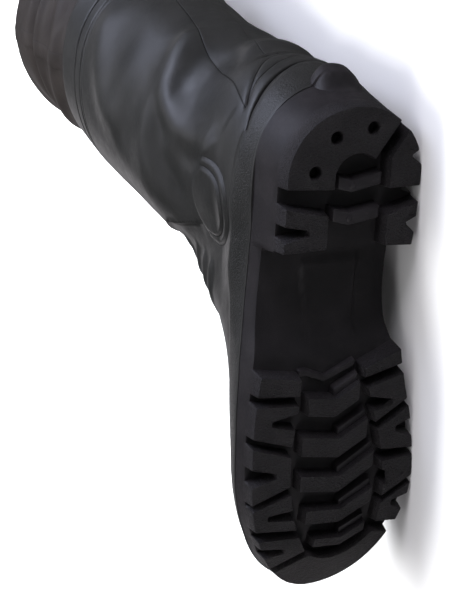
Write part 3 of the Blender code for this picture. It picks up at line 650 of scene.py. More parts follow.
def boot_place(record):
    """Turn and shift from the boot's frame to the row's, from the two mounts on the tread."""
    mounts = {row["name"]: row for row in record["mounts"]}
    heel = Vector(mounts["heel_tread"]["pos_m"])
    up = -Vector(mounts["heel_tread"]["axis"]).normalized()
    forward = Vector(mounts["forefoot_tread"]["pos_m"]) - heel
    forward = (forward - up * forward.dot(up)).normalized()
    inner = forward.cross(up)
    turn = np.array([inner, forward, up]).T
    shift = np.array(heel) - turn @ (np.array([*HEEL_MOUNT, 0.0]) * MM)
    return turn, shift


TURN, SHIFT = boot_place(frame["record"])


def to_row(points):
    return np.asarray(points, dtype=float) * MM @ TURN.T + SHIFT


def to_boot(points):
    return (np.asarray(points, dtype=float) - SHIFT) @ TURN / MM


def new_object(name, mesh):
    made = bpy.data.objects.new(name, mesh)
    bpy.context.scene.collection.objects.link(made)
    return made


def mesh_of(name, points, faces):
    """Mesh in the row's frame from points in the boot's frame."""
    mesh = bpy.data.meshes.new(name)
    mesh.from_pydata(to_row(points).tolist(), [], faces)
    mesh.update()
    return mesh


def smooth(mesh, degrees):
    """Smooth shading with the sharp edges kept."""
    mesh.shade_smooth()
    mesh.set_sharp_from_angle(angle=math.radians(degrees))


def values_of(mesh, what):
    """Places or normals of a mesh's points, in the row's frame."""
    values = np.empty(len(mesh.vertices) * 3)
    mesh.vertices.foreach_get(what, values)
    return values.reshape(-1, 3)


def keep_places(mesh):
    """Stores the boot's own coordinates on each point, in millimetres, for the materials."""
    place = mesh.attributes.new("boot", "FLOAT_VECTOR", "POINT")
    place.data.foreach_set("vector", to_boot(values_of(mesh, "co")).ravel())


def keep_share(mesh, name, values):
    share = mesh.attributes.new(name, "FLOAT", "POINT")
    share.data.foreach_set("value", np.asarray(values, dtype=float).ravel())


def ring_faces(rings, count):
    """Outward quads between consecutive rings of equal count."""
    low = np.arange(rings - 1)[:, None] * count + np.arange(count)[None, :]
    turn = np.arange(rings - 1)[:, None] * count + (np.arange(count)[None, :] + 1) % count
    return np.stack([low, turn, turn + count, low + count], axis=-1).reshape(-1, 4)[:, ::-1]


def shell_faces(rings, count):
    """Faces of a closed shell, whose last ring joins its first."""
    last = (rings - 1) * count
    faces = ring_faces(rings, count).tolist()
    for i in range(count):
        j = (i + 1) % count
        faces.append((last + j, last + i, i, j))
    return faces


def eased(count):
    """Shares from nought to one, close together at both ends."""
    return 0.5 * (1.0 - np.cos(np.linspace(0.0, math.pi, count)))


def lengths(path):
    """Length along a path of points, up to each of them."""
    return np.concatenate([[0.0], np.cumsum(np.linalg.norm(np.diff(path, axis=0), axis=1))])


def spaced(path, at):
    """Points at given lengths along a path."""
    length = lengths(path)
    return np.stack([np.interp(at, length, path[:, axis]) for axis in range(3)], axis=1)


# Upper


def column_x(y, z, side, grow):
    """Half outline of heel, ankle and shaft at a height, or nan outside it."""
    back = along(COLUMNS, "back", z) - grow
    front = along(COLUMNS, "front", z) + grow
    half = along(COLUMNS, side_name(side), z) + grow
    u = np.abs(2.0 * y - back - front) / (front - back)
    inside = np.clip(1.0 - np.minimum(u, 1.0) ** COLUMN_POWER, 0.0, 1.0) ** (1.0 / COLUMN_POWER)
    return np.where(u <= 1.0, half * inside, np.nan)


def crest_z(y, grow):
    return INSTEP_HEIGHT * along(CRESTS, "top", share_of(y)) + grow


def foot_x(y, z, side, grow):
    """Half outline of the foot at a height, or nan outside it."""
    top = crest_z(y, grow)
    low = sole_top(y)
    rise = np.clip((z - low) / np.maximum(top - low, 1.0), 0.0, 1.0)
    edge = side * sole_x(y, side, -grow)
    round_share = np.sqrt(np.clip(1.0 - rise ** FOOT_ROUND, 0.0, 1.0))
    fade = FOOT_FADE_SHARE + (1.0 - FOOT_FADE_SHARE) * ramp(FOOT_FADE_FROM, FOOT_FADE_TO, y)
    ridge = side * along(CRESTS, "ridge_x", share_of(y))
    half = ridge * (1.0 - round_share) + edge * round_share * fade
    inside = (z <= top) & (y <= TOE_TIP + grow) & (y >= FOOT_FADE_FROM)
    return np.where(inside, half, np.nan)


def flare_stand(y, z, side):
    """How far the rand flares out at a place on one side."""
    rise = z - sole_top(y)
    share = ramp(0.0, RAND_HEIGHT, rise) * (1.0 - ramp(RAND_HEIGHT, RAND_HEIGHT + FLARE_FADE, rise))
    return share * along(FLARES, side_name(side), y)


def upper_half(y, z, side, grow):
    """Half outline of the upper at a height: foot and column, run together with a soft hollow."""
    column = column_x(y, z, side, grow)
    foot = foot_x(y, z, side, grow)
    both = np.isfinite(column) & np.isfinite(foot)
    high = np.fmax(column, foot)
    apart = np.where(both, np.abs(column - foot), BLEND)
    hollow = np.maximum(BLEND - apart, 0.0) ** 2 / (4.0 * BLEND)
    return high + hollow + flare_stand(y, z, side)


def level_z(y, level):
    """Height along a ring: parallel to the sole's top edge low down, level above the ankle."""
    fade = 1.0 - ramp(HEEL_HEIGHT, LEVEL_FLAT, level)
    return level + (sole_top(y) - HEEL_HEIGHT) * fade


def ring_front(level, grow):
    """Foremost place of a ring: the crest of the foot, or the front of the shaft."""
    y = np.linspace(FOOT_FADE_FROM, TOE_TIP + grow, FINE_SAMPLES)
    over = crest_z(y, grow) - level_z(y, level)
    front = float(along(COLUMNS, "front", level)) + grow
    inside = np.nonzero(over >= 0.0)[0]
    if len(inside) == 0:
        return front
    last = int(inside[-1])
    if last == len(y) - 1:
        return float(y[-1])
    cut = y[last] + (y[last + 1] - y[last]) * over[last] / (over[last] - over[last + 1])
    return max(float(cut), front)


def upper_ring(level, grow):
    """Ring of points from the heel by the outer side and back, each with its arc from the heel."""
    start = float(along(COLUMNS, "back", level)) - grow
    stop = ring_front(level, grow)
    y = start + (stop - start) * eased(SAMPLES)
    z = level_z(y, level)
    front_x = float(along(CRESTS, "ridge_x", share_of(stop)))
    part_y = PART_FOOT_Y + (PART_SHAFT_Y - PART_FOOT_Y) * float(ramp(PART_FROM, PART_TO, level))
    halves = []
    for row in SPREADS:
        x = row.side * np.nan_to_num(upper_half(y, z, row.side, grow))
        x[0] = 0.0
        x[-1] = front_x
        path = np.stack([x, y, z], axis=1)
        length = lengths(path)
        middle = float(np.interp(part_y, y, length))
        back = np.linspace(0.0, middle, row.back, endpoint=False)
        even = np.concatenate([back, np.linspace(middle, length[-1], row.front + 1)])
        halves.append(np.concatenate([spaced(path, even), row.side * even[:, None]], axis=1))
    return np.concatenate([halves[0], halves[1][-2:0:-1]])


def upper_grid(bands, grow):
    """Grid of rings: points, arcs from the heel and levels."""
    runs = [
        np.linspace(row.low, row.high, int(round((row.high - row.low) / row.step)), endpoint=False)
        for row in bands
    ]
    levels = np.concatenate(runs + [[bands[-1].high]])
    grid = np.array([upper_ring(level, grow) for level in levels])
    return grid[:, :, :3], grid[:, :, 3], levels


def grid_normals(grid):
    """Outward directions of a grid of closed rings."""
    round_way = np.roll(grid, -1, axis=1) - np.roll(grid, 1, axis=1)
    up_way = np.gradient(grid, axis=0)
    normal = np.cross(up_way, round_way)
    return normal / np.maximum(np.linalg.norm(normal, axis=2, keepdims=True), TINY)


def surface_path(points, grid, arcs):
    """A line of points as arcs and heights on the grid, rounded through its points."""
    start = grid.reshape(-1, 3)
    span = np.roll(grid, -1, axis=1).reshape(-1, 3) - start
    first = arcs.ravel()
    last = np.roll(arcs, -1, axis=1).ravel()
    found = []
    for point in points:
        at = np.array(point)
        share = ((at - start) * span).sum(axis=1) / np.maximum((span * span).sum(axis=1), TINY)
        share = np.clip(share, 0.0, 1.0)
        near = np.argmin(np.linalg.norm(start + span * share[:, None] - at, axis=1))
        found.append((first[near] + (last[near] - first[near]) * share[near], point[2]))
    found = np.array(found)
    ends = np.concatenate([[2 * found[0] - found[1]], found, [2 * found[-1] - found[-2]]])
    line = []
    for a, b, c, d in zip(ends, ends[1:], ends[2:], ends[3:]):
        for t in np.linspace(0.0, 1.0, PATH_STEPS, endpoint=False):
            curve = 2 * b + (c - a) * t + (2 * a - 5 * b + 4 * c - d) * t * t
            line.append(0.5 * (curve + (3 * b - a - 3 * c + d) * t ** 3))
    line.append(ends[-2])
    return np.array(line)


def path_reach(line, arcs, heights):
    """Distance of each place from a line, and its sign: positive on the line's left."""
    place = np.stack([arcs.ravel(), heights.ravel()], axis=1)
    best = np.full(len(place), HUGE)
    sign = np.ones(len(place))
    for a, b in zip(line, line[1:]):
        span = b - a
        u = np.clip((place - a) @ span / max(float(span @ span), TINY), 0.0, 1.0)
        gap = place - a - u[:, None] * span
        apart = np.linalg.norm(gap, axis=1)
        nearer = apart < best
        best = np.where(nearer, apart, best)
        sign = np.where(nearer, np.sign(span[0] * gap[:, 1] - span[1] * gap[:, 0]), sign)
    return best.reshape(arcs.shape), sign.reshape(arcs.shape)


def bump(apart, half):
    return np.exp(-((apart / half) ** 2))


def wave_at(grid, scale):
    """Slow random waves over a grid."""
    flat = [noise.noise(Vector(p) * scale) for p in grid.reshape(-1, 3)]
    return np.array(flat).reshape(grid.shape[:2])


def soft_shape(grid, arcs, base, base_arcs):
    """Slack form of the upper, with the roll over the heel, and the height over the roll's lip."""
    heights = grid[:, :, 2]
    stand = np.zeros(arcs.shape)
    for row in CREASES:
        apart = path_reach(surface_path(row.points, base, base_arcs), arcs, heights)[0]
        stand += row.height * bump(apart, row.half)
    lip = surface_path(ROLL_LIP, base, base_arcs)
    over = heights - np.interp(arcs, lip[:, 0], lip[:, 1])
    window = ramp(ROLL_ENDS[0], ROLL_ENDS[1], arcs) * (1.0 - ramp(ROLL_ENDS[2], ROLL_ENDS[3], arcs))
    under = ROLL_UNDERCUT * np.exp(np.minimum(over, 0.0) / ROLL_UNDERCUT_REACH)
    fall = 1.0 - ramp(ROLL_RISE[2], ROLL_RISE[3], over)
    roll = ROLL_PROUD * ramp(ROLL_RISE[0], ROLL_RISE[1], over) * fall
    roll -= np.where(over < 0.0, under, 0.0)
    stand += roll * window
    stand = stand + WAVE_PROUD * ramp(*WAVE_RISE, heights) * wave_at(grid, WAVE_SCALE)
    return stand, np.where(window > ROLL_LINE_FROM, over + ROLL_LINE_DROP, LINE_FAR)


def rand_rise(arcs):
    return along(RAND_TOPS, "rise", np.abs(arcs))


def fine_shape(grid, arcs):
    """Moulded detail of the upper: rand, heel ribs, guard, panel edges, collar grooves, toe cap."""
    x, y, z = (grid[:, :, axis] for axis in range(3))
    lateral = arcs <= 0.0
    rise = z - sole_top(y)
    top = rand_rise(arcs)
    stand = RAND_PROUD * (1.0 - ramp(top, top + RAND_CHAMFER, rise))
    stand += BEAD_PROUD * bump(rise - BEAD_AT, BEAD_HALF)

    lines = {}
    for row in CUT_LINES:
        apart, above = path_reach(surface_path(row.points, grid, arcs), arcs, z)
        lines[row.name] = above * (apart + LINE_FAR * np.maximum(apart - LINE_REACH, 0.0))
        stand -= row.depth * np.exp(-apart / CUT_FADE)
    apart, above = path_reach(surface_path(COUNTER_EDGE, grid, arcs), arcs, z)
    dip = np.where(above < 0, 1.0, 0.0) * bump(apart - COUNTER_DIP_AT, COUNTER_HALF)
    stand += COUNTER_PROUD * bump(apart, COUNTER_HALF) - COUNTER_PROUD * dip
    apart, above = path_reach(surface_path(PANEL_EDGE, grid, arcs), arcs, z)
    step = PANEL_STEP * above * bump(apart, PANEL_STEP_HALF) * ramp(0.0, 1.0, apart)
    stand += PANEL_BEAD * bump(apart, PANEL_BEAD_HALF) + step

    soft = GUARD_SOFT[0] + GUARD_SOFT[1] * ramp(GUARD_SOFT_Z[0], GUARD_SOFT_Z[1], z)
    ring = np.hypot((y - GUARD_Y) / GUARD_RING[0], (z - GUARD_Z) / GUARD_RING[1])
    disc = np.hypot((y - GUARD_Y) / GUARD_DISC[0], (z - GUARD_Z - GUARD_DISC_LIFT) / GUARD_DISC[1])
    guard = GUARD_RING_PROUD * (1.0 - ramp(1.0 - soft, 1.0, ring))
    dome = GUARD_DOME * np.maximum(1.0 - disc, 0.0)
    guard += GUARD_DISC_PROUD * (1.0 - ramp(1.0 - soft, 1.0, disc)) + dome
    stand += np.where(lateral, guard, 0.0)
    crisp = lateral & (z < GUARD_CRISP_Z)
    lines["guard_ring"] = np.where(crisp, GUARD_RING[0] * (ring - 1.0), LINE_FAR)
    lines["guard_disc"] = np.where(crisp, GUARD_DISC[0] * (disc - 1.0), LINE_FAR)

    droop = COLLAR_DROOP * ramp(*COLLAR_DROOP_Y, y)
    for row in COLLAR_GROOVES:
        lines[row.name] = z - row.z + droop
        stand -= row.depth * bump(lines[row.name], row.half)

    across = ramp(*FLEX_Y, y)
    for height in FLEX_RIBS:
        stand += FLEX_PROUD * bump(z - height, FLEX_HALF) * across

    cap = y - TOE_CAP_Y + TOE_CAP_SWEEP * (np.abs(x) / TOE_CAP_HALF) ** 2
    above_rand = ramp(top - TOE_CAP_LAP, top + TOE_CAP_LAP, rise)
    stand += TOE_CAP_PROUD * ramp(-TOE_CAP_EDGE, TOE_CAP_EDGE, cap) * above_rand
    return stand, lines


def collar_lip(outer, inner):
    """Rings that round the collar's edge from the outer wall over to the inner one."""
    middle = 0.5 * (outer + inner)
    reach = 0.5 * (outer - inner)
    height = COLLAR_HEIGHT - outer[:, 2].max()
    rings = []
    for turn in np.linspace(0.0, math.pi, LIP_STEPS + 2)[1:-1]:
        ring = middle + reach * math.cos(turn)
        ring[:, 2] = outer[:, 2] + height * math.sin(turn)
        rings.append(ring)
    return np.array(rings)


def build_upper():
    """The moulded upper, with the grid of its outer face and the grid's arcs."""
    outer, arcs, levels = upper_grid(OUTER_BANDS, 0.0)
    inner, inner_arcs, inner_levels = upper_grid(INNER_BANDS, RAND_PROUD - UPPER_WALL)
    fine, lines = fine_shape(outer, arcs)
    soft, lines["roll_lip"] = soft_shape(outer, arcs, outer, arcs)
    inner_soft = soft_shape(inner, inner_arcs, outer, arcs)[0]
    edge = 1.0 - ramp(COLLAR_CALM_FROM, WALL_TOP, levels)
    inner_edge = 1.0 - ramp(COLLAR_CALM_FROM, WALL_TOP, inner_levels)
    thin = -RAND_PROUD * ramp(*LINING_THINS, inner_levels)
    shown = outer + grid_normals(outer) * (fine + soft * edge[:, None])[:, :, None]
    inner_stand = inner_soft * inner_edge[:, None] + thin[:, None]
    lining = inner + grid_normals(inner) * inner_stand[:, :, None]
    loops = np.concatenate([shown, collar_lip(shown[-1], lining[-1]), lining[::-1]])
    total, count = loops.shape[:2]
    mesh = mesh_of("moulded_upper", loops.reshape(-1, 3), shell_faces(total, count))
    keep_places(mesh)
    rise = outer[:, :, 2] - sole_top(outer[:, :, 1])
    top = rand_rise(arcs)
    band = ramp(*STIPPLE_RISE, rise) * (1.0 - ramp(top - STIPPLE_FALL[0], top - STIPPLE_FALL[1], rise))
    rest = np.zeros((total - len(outer), count))
    keep_share(mesh, "stipple", np.concatenate([band, rest]))
    for name, apart in lines.items():
        keep_share(mesh, name, np.concatenate([apart, rest + LINE_FAR]))
    smooth(mesh, UPPER_SHARP)
    return new_object("moulded_upper", mesh), shown, arcs


# Outsole


def lug_inset(y, base):
    return float(sole_draw(y)) + (LUG_BASE_INSET if base else LUG_EDGE_INSET)


def outer_points(side, start, stop, base):
    y = np.linspace(start, stop, EDGE_STEPS)
    inset = lug_inset(0.5 * (start + stop), base)
    return list(zip(sole_x(y, side, inset), y))


def inner_point(side, y, grow):
    return side * (float(along(CHANNELS, side_name(side), y)) - grow), y


def lug_loop(row, base):
    """Loop of a side lug at its face or at its base, where its drafted walls have spread."""
    grow = LUG_DRAFT if base else 0.0
    side = row.side
    rear_outer = row.rear_outer - grow
    fore_outer = row.fore_outer + grow
    half = row.notch_half - grow
    low = row.notch_at - half
    high = row.notch_at + half
    inner = [inner_point(side, row.rear_inner - grow, grow)]
    if row.notch == "inner":
        apex = side * (float(along(CHANNELS, side_name(side), row.notch_at)) + row.notch_reach - grow)
        tip = NOTCH_TIP_HALF * half / row.notch_half
        inner += [inner_point(side, low, grow), (apex, row.notch_at - tip)]
        inner += [(apex, row.notch_at + tip), inner_point(side, high, grow)]
    inner.append(inner_point(side, row.fore_inner + grow, grow))
    if row.notch == "outer":
        edge = float(sole_x(row.notch_at, side, lug_inset(row.notch_at, base)))
        apex = edge - side * (row.notch_reach - grow)
        tip = NOTCH_TIP_HALF * half / row.notch_half
        outer = outer_points(side, fore_outer, high, base)
        outer += [(apex, row.notch_at + tip), (apex, row.notch_at - tip)]
        outer += outer_points(side, low, rear_outer, base)
    else:
        outer = outer_points(side, fore_outer, rear_outer, base)
    return inner + outer


def chevron_loop(row, base):
    """Loop of a bent bar across the middle of the tread."""
    grow = CHEVRON_DRAFT if base else 0.0
    left = row.left - grow
    right = row.right + grow
    rear = row.rear - grow
    fore = row.fore + grow
    left_back = row.left_sweep * (row.vertex_x - left)
    right_back = row.right_sweep * (right - row.vertex_x)
    return [
        (left, rear - left_back),
        (row.vertex_x, rear),
        (right, rear - right_back),
        (right, fore - right_back),
        (row.vertex_x, fore),
        (left, fore - left_back),
    ]


def ledge_loop(row, base):
    """Loop of the low ledge behind a bar's right arm."""
    grow = CHEVRON_DRAFT if base else 0.0
    left = row.vertex_x - grow
    right = row.right - LEDGE_SHORT + grow
    rear = row.rear - LEDGE_REACH - grow
    fore = rear + LEDGE_REACH + LEDGE_LAP
    sweep = row.right_sweep * (right - row.vertex_x)
    return [(left, rear), (right, rear - sweep), (right, fore - sweep), (left, fore)]


def round_end(end, lateral_span, medial_span, inset):
    """Edge of the sole round its back or its tip, from the outer side to the inner."""
    turn = np.linspace(0.0, 1.0, ARC_STEPS)
    lateral_y = end + lateral_span * (1.0 - turn) ** 2
    medial_y = end + medial_span * turn[1:] ** 2
    lateral = list(zip(sole_x(lateral_y, LATERAL, inset), lateral_y))
    return lateral + list(zip(sole_x(medial_y, MEDIAL, inset), medial_y))


def rim_loop(base):
    """Loop of the rim round the heel's back, from its lateral end to the slot on the medial side."""
    inset = lug_inset(HEEL_BACK, base)
    grow = LUG_DRAFT if base else 0.0
    back = sole_end(inset)[0]
    outer = round_end(back, RIM_LATERAL_END + grow - back, RIM_MEDIAL_END + grow - back, inset)
    angle = np.radians(np.linspace(POCKET_MEDIAL_TURN, 180.0, ARC_STEPS))
    radius = POCKET_RADIUS - grow
    inner = list(zip(POCKET_X + radius * np.cos(angle), POCKET_Y + radius * np.sin(angle)))
    inner.append((POCKET_X - radius, RIM_LATERAL_INNER + grow))
    return outer + inner


def toe_loop(base):
    """Loop of the crescent round the toe."""
    inset = lug_inset(TOE_TIP, base)
    grow = LUG_DRAFT if base else 0.0
    tip = sole_end(inset)[1]
    outer = round_end(tip, -(tip - TOE_LATERAL_END + grow), -(tip - TOE_MEDIAL_END + grow), inset)
    turn = np.linspace(0.0, 1.0, ARC_STEPS)
    inner_x = np.linspace(TOE_INNER_ENDS_X[1], TOE_INNER_ENDS_X[0], ARC_STEPS)
    inner_y = np.linspace(TOE_INNER_ENDS_Y[1], TOE_INNER_ENDS_Y[0], ARC_STEPS)
    inner_y = inner_y + 4.0 * TOE_INNER_RISE * turn * (1.0 - turn) - grow
    return outer + list(zip(inner_x, inner_y))


def corner_flags(loop):
    """Which points of a loop are corners."""
    loop = np.array(loop)
    before = loop - np.roll(loop, 1, axis=0)
    after = np.roll(loop, -1, axis=0) - loop
    cross = before[:, 0] * after[:, 1] - before[:, 1] * after[:, 0]
    dot = (before * after).sum(axis=1)
    return np.abs(np.arctan2(cross, dot)) > CORNER_TURN


def rounded(loop, corners, radius):
    """A loop with its corners rounded."""
    loop = np.array(loop)
    count = len(loop)
    points = []
    for i in range(count):
        if not corners[i]:
            points.append(loop[i])
            continue
        before = loop[i - 1] - loop[i]
        after = loop[(i + 1) % count] - loop[i]
        start = loop[i] + before * min(radius / np.linalg.norm(before), CORNER_REACH)
        stop = loop[i] + after * min(radius / np.linalg.norm(after), CORNER_REACH)
        for t in CORNER_STEPS:
            points.append((1 - t) ** 2 * start + 2 * t * (1 - t) * loop[i] + t * t * stop)
    return np.array(points)


def drawn_in(loop, inset):
    """A loop moved inward by a small distance."""
    ahead = np.roll(loop, -1, axis=0)
    before = loop - np.roll(loop, 1, axis=0)
    after = ahead - loop
    area = 0.5 * np.sum(loop[:, 0] * ahead[:, 1] - ahead[:, 0] * loop[:, 1])
    way = 1.0 if area > 0 else -1.0
    normals = []
    for edge in (before, after):
        edge = edge / np.maximum(np.linalg.norm(edge, axis=1, keepdims=True), TINY)
        normals.append(way * np.stack([-edge[:, 1], edge[:, 0]], axis=1))
    middle = normals[0] + normals[1]
    middle /= np.maximum(np.linalg.norm(middle, axis=1, keepdims=True), TINY)
    stretch = 1.0 / np.maximum((middle * normals[0]).sum(axis=1, keepdims=True), MITRE_LEAST)
    return loop + inset * middle * stretch


def add_loft(work, rings, capped=True):
    """Skin over rings of equal count, in the boot's frame; ends that meet in a line need no cap."""
    loops = [[work.verts.new(Vector(point)) for point in ring] for ring in rings]
    for low, high in zip(loops, loops[1:]):
        for i in range(len(low)):
            j = (i + 1) % len(low)
            work.faces.new((low[i], low[j], high[j], high[i]))
    if capped:
        caps = [work.faces.new(loops[0][::-1]), work.faces.new(loops[-1])]
        bmesh.ops.triangulate(work, faces=caps, ngon_method="BEAUTY")


def raised(loop, heights):
    return np.concatenate([loop, np.asarray(heights, dtype=float)[:, None]], axis=1)


def add_block(work, face, base, drop, corner=LUG_CORNER, bevel=LUG_BEVEL):
    """Drafted block from its bevelled face on the tread up into the sole."""
    corners = corner_flags(face)
    wide = rounded(face, corners, corner)
    base = rounded(base, corners, corner)
    roots = sole_under(base[:, 1]) + LUG_SINK
    rings = []
    for inset, depth in BEVEL_STEPS:
        ring = rounded(drawn_in(np.array(face), inset * bevel), corners, corner)
        faces = sole_tread(ring[:, 1]) + drop
        share = depth * bevel / np.maximum(roots - faces, BLOCK_LEAST)
        ring = ring + (base - wide) * share[:, None]
        rings.append(raised(ring, faces + depth * bevel))
    rings.append(raised(base, roots))
    add_loft(work, rings)


def station_rings(floor, roof, floor_inset, roof_inset, walls):
    """Cross sections along the sole between a floor and a roof, each with its own outline."""
    back, tip = sole_end(0.0)
    breast = (np.array(HEEL_BREAST) - back) / (tip - back)
    rings = []
    for s in np.sort(np.concatenate([eased(STATIONS), breast])):
        sides = {LATERAL: [], MEDIAL: []}
        for t in np.linspace(0.0, 1.0, walls):
            y_mid = back + s * (tip - back)
            drawn = float((1.0 - t) * roof_inset(y_mid) + t * floor_inset(y_mid))
            level_back, level_tip = sole_end(drawn)
            y = level_back + s * (level_tip - level_back)
            z = float((1.0 - t) * roof(y) + t * floor(y))
            for side in sides:
                sides[side].append((float(sole_x(y, side, drawn)), y, z))
        rings.append(sides[LATERAL][::-1] + sides[MEDIAL])
    return rings


def top_edge(y):
    """The sole's top edge comes out nearly flush with the rand."""
    return -TOP_EDGE_PROUD


def tablet_stand(x, y):
    """How far the bare tablet under the waist stands out."""
    share = (y - TABLET_Y[0]) / (TABLET_Y[1] - TABLET_Y[0])
    left = TABLET_LEFT[0] + (TABLET_LEFT[1] - TABLET_LEFT[0]) * share
    right = TABLET_RIGHT[0] + (TABLET_RIGHT[1] - TABLET_RIGHT[0]) * share
    inside = np.minimum(np.minimum(x - left, right - x), np.minimum(y - TABLET_Y[0], TABLET_Y[1] - y))
    return TABLET_PROUD * ramp(-TABLET_EDGE, TABLET_EDGE, inside)


def add_body(work):
    """The sole without its lugs: walls, top and a finely divided underside."""
    rings = []
    for ring in station_rings(sole_under, sole_top, sole_draw, top_edge, BODY_WALLS):
        left, right = ring[0], ring[-1]
        across = np.linspace(right[0], left[0], UNDER_STEPS)[1:-1]
        under = [(x, left[1], left[2] - float(tablet_stand(x, left[1]))) for x in across]
        rings.append(ring + under)
    add_loft(work, rings, capped=False)


def add_tread(work):
    """The side lugs, the bars, the heel's rim and the toe's crescent."""
    for row in LUGS:
        add_block(work, lug_loop(row, False), lug_loop(row, True), 0.0)
    for row in CHEVRONS:
        add_block(work, chevron_loop(row, False), chevron_loop(row, True), row.drop)
    for loop in (rim_loop, toe_loop):
        add_block(work, loop(False), loop(True), 0.0)


def add_ledges(work):
    for row in CHEVRONS:
        if row.rear > LEDGE_FROM_Y:
            face, base = ledge_loop(row, False), ledge_loop(row, True)
            add_block(work, face, base, LEDGE_DROP, LEDGE_CORNER, LEDGE_BEVEL)


def add_marks(work):
    """The low zigzag ridge."""
    line = np.array(ZIGZAG)
    upper = [tuple(p + (0.0, ZIGZAG_HALF)) for p in line]
    lower = [tuple(p - (0.0, ZIGZAG_HALF)) for p in line[::-1]]
    face = upper + lower
    base = drawn_in(np.array(face), -ZIGZAG_DRAFT).tolist()
    add_block(work, face, base, ZIGZAG_DROP, ZIGZAG_CORNER, ZIGZAG_BEVEL)


def heel_back_y(x, z, grow):
    """Back of the upper, or of the sole below it, at a distance from the centre line."""
    side = LATERAL if x < HEEL_BACK_X else MEDIAL
    if z < HEEL_HEIGHT:
        y = np.linspace(sole_end(-grow)[0], HEEL_ARC_FROM, FINE_SAMPLES)
        half = side * (sole_x(y, side, -grow) - HEEL_BACK_X)
        return float(np.interp(abs(x - HEEL_BACK_X), half, y))
    y = np.linspace(float(along(COLUMNS, "back", z)) - grow, HEEL_ARC_FROM, FINE_SAMPLES)
    return float(np.interp(abs(x), column_x(y, z, side, grow), y))


def add_spur(work):
    """The kick-off spur: let into the heel low down, clear of the rand above it."""
    across = np.sin(0.5 * math.pi * np.linspace(-1.0, 1.0, SPUR_STEPS))
    rings = []
    for z in np.concatenate([np.linspace(*run) for run in SPUR_RUNS]):
        above = z > HEEL_HEIGHT
        half = float(along(SPURS, "half", z))
        reach = float(along(SPURS, "reach", z))
        x = SPUR_X + half * across
        root = np.array([heel_back_y(v, z, RAND_PROUD + JOINT_GAP if above else -SPUR_ROOT) for v in x])
        edge = np.array([heel_back_y(v, z, RAND_PROUD if above else 0.0) for v in x])
        sunk = 0.0 if above else SPUR_SUNK
        stand = (reach + sunk) * (1.0 - np.abs(across) ** SPUR_SQUARENESS) - sunk
        face = np.minimum(edge - stand, root - JOINT_GAP)
        ring = [(v, f, z) for v, f in zip(x, face)]
        rings.append(ring + [(v, b, z) for v, b in zip(x[::-1], root[::-1])])
    add_loft(work, rings)


def add_holes(work):
    turn = np.linspace(0.0, 2.0 * math.pi, HOLE_SIDES, endpoint=False)
    for x, y in HEEL_HOLES:
        rings = []
        for wider, z in HOLE_PROFILE:
            radius = HEEL_HOLE_RADIUS + wider
            ring = [x + radius * np.cos(turn), y + radius * np.sin(turn), np.full(HOLE_SIDES, z)]
            rings.append(np.stack(ring, axis=1))
        add_loft(work, rings)


def add_scallops(work):
    """Wedges cut into the heel's inner wall behind the notches and the slot of its lugs."""
    for y, half in HEEL_SCALLOPS:
        edge = float(sole_x(y, MEDIAL, lug_inset(y, False)))
        rings = []
        for z, share in SCALLOP_LEVELS:
            wide = half * share
            mouth, deep = edge + SCALLOP_OUTSIDE, edge - SCALLOP_REACH * share
            low = [(mouth, y - SCALLOP_MOUTH * wide, z), (deep, y - SCALLOP_TIP * wide, z)]
            rings.append(low + [(deep, y + SCALLOP_TIP * wide, z), (mouth, y + SCALLOP_MOUTH * wide, z)])
        add_loft(work, rings)


def tool_object(name, add):
    """Solid made in the boot's frame and set down in the row's."""
    work = bmesh.new()
    add(work)
    bmesh.ops.remove_doubles(work, verts=work.verts, dist=WELD)
    bmesh.ops.recalc_face_normals(work, faces=work.faces)
    for vert in work.verts:
        vert.co = Vector(to_row(np.array(vert.co)))
    mesh = bpy.data.meshes.new(name)
    work.to_mesh(mesh)
    work.free()
    return new_object(name, mesh)


def baked(piece):
    """Keeps what the modifiers make as the piece's own mesh."""
    view = bpy.context.evaluated_depsgraph_get()
    mesh = bpy.data.meshes.new_from_object(piece.evaluated_get(view))
    piece.modifiers.clear()
    old = piece.data
    piece.data = mesh
    bpy.data.meshes.remove(old)
    mesh.name = piece.name


def keep_tread(mesh):
    """Stores how far each point lies on the coarse tread, at the toe painted paler as caught light and
    partly dust, or in a hollow painted with shade.
    """
    place = to_boot(values_of(mesh, "co"))
    above = place[:, 2] - sole_tread(place[:, 1])
    tread = 1.0 - ramp(*TREAD_FADE, above)
    keep_share(mesh, "tread", tread)
    # The toe is painted paler, partly dust and partly painted light.
    keep_share(mesh, "toe_dust_and_light", ramp(*TOE_DUST_AND_LIGHT_Y, place[:, 1]) * tread)
    downward = -(values_of(mesh, "normal") @ TURN)[:, 2]
    keep_share(mesh, "hollow", ramp(*HOLLOW_SHADE_RISE, above) * ramp(*HOLLOW_SHADE_FACING, downward))


def build_outsole():
    outsole = tool_object("cleated_outsole", add_body)
    tools = []
    for name, add, operation in (
        ("scallops", add_scallops, "DIFFERENCE"),
        ("lugs", add_tread, "UNION"),
        ("ledges", add_ledges, "UNION"),
        ("marks", add_marks, "UNION"),
        ("spur", add_spur, "UNION"),
        ("holes", add_holes, "DIFFERENCE"),
    ):
        tool = tool_object(name, add)
        step = outsole.modifiers.new(name, "BOOLEAN")
        step.operation = operation
        step.solver = "EXACT"
        step.object = tool
        tools.append(tool)
    baked(outsole)
    for tool in tools:
        mesh = tool.data
        bpy.data.objects.remove(tool)
        bpy.data.meshes.remove(mesh)
    keep_places(outsole.data)
    keep_tread(outsole.data)
    smooth(outsole.data, SOLE_SHARP)
    return outsole


# Insole and leg


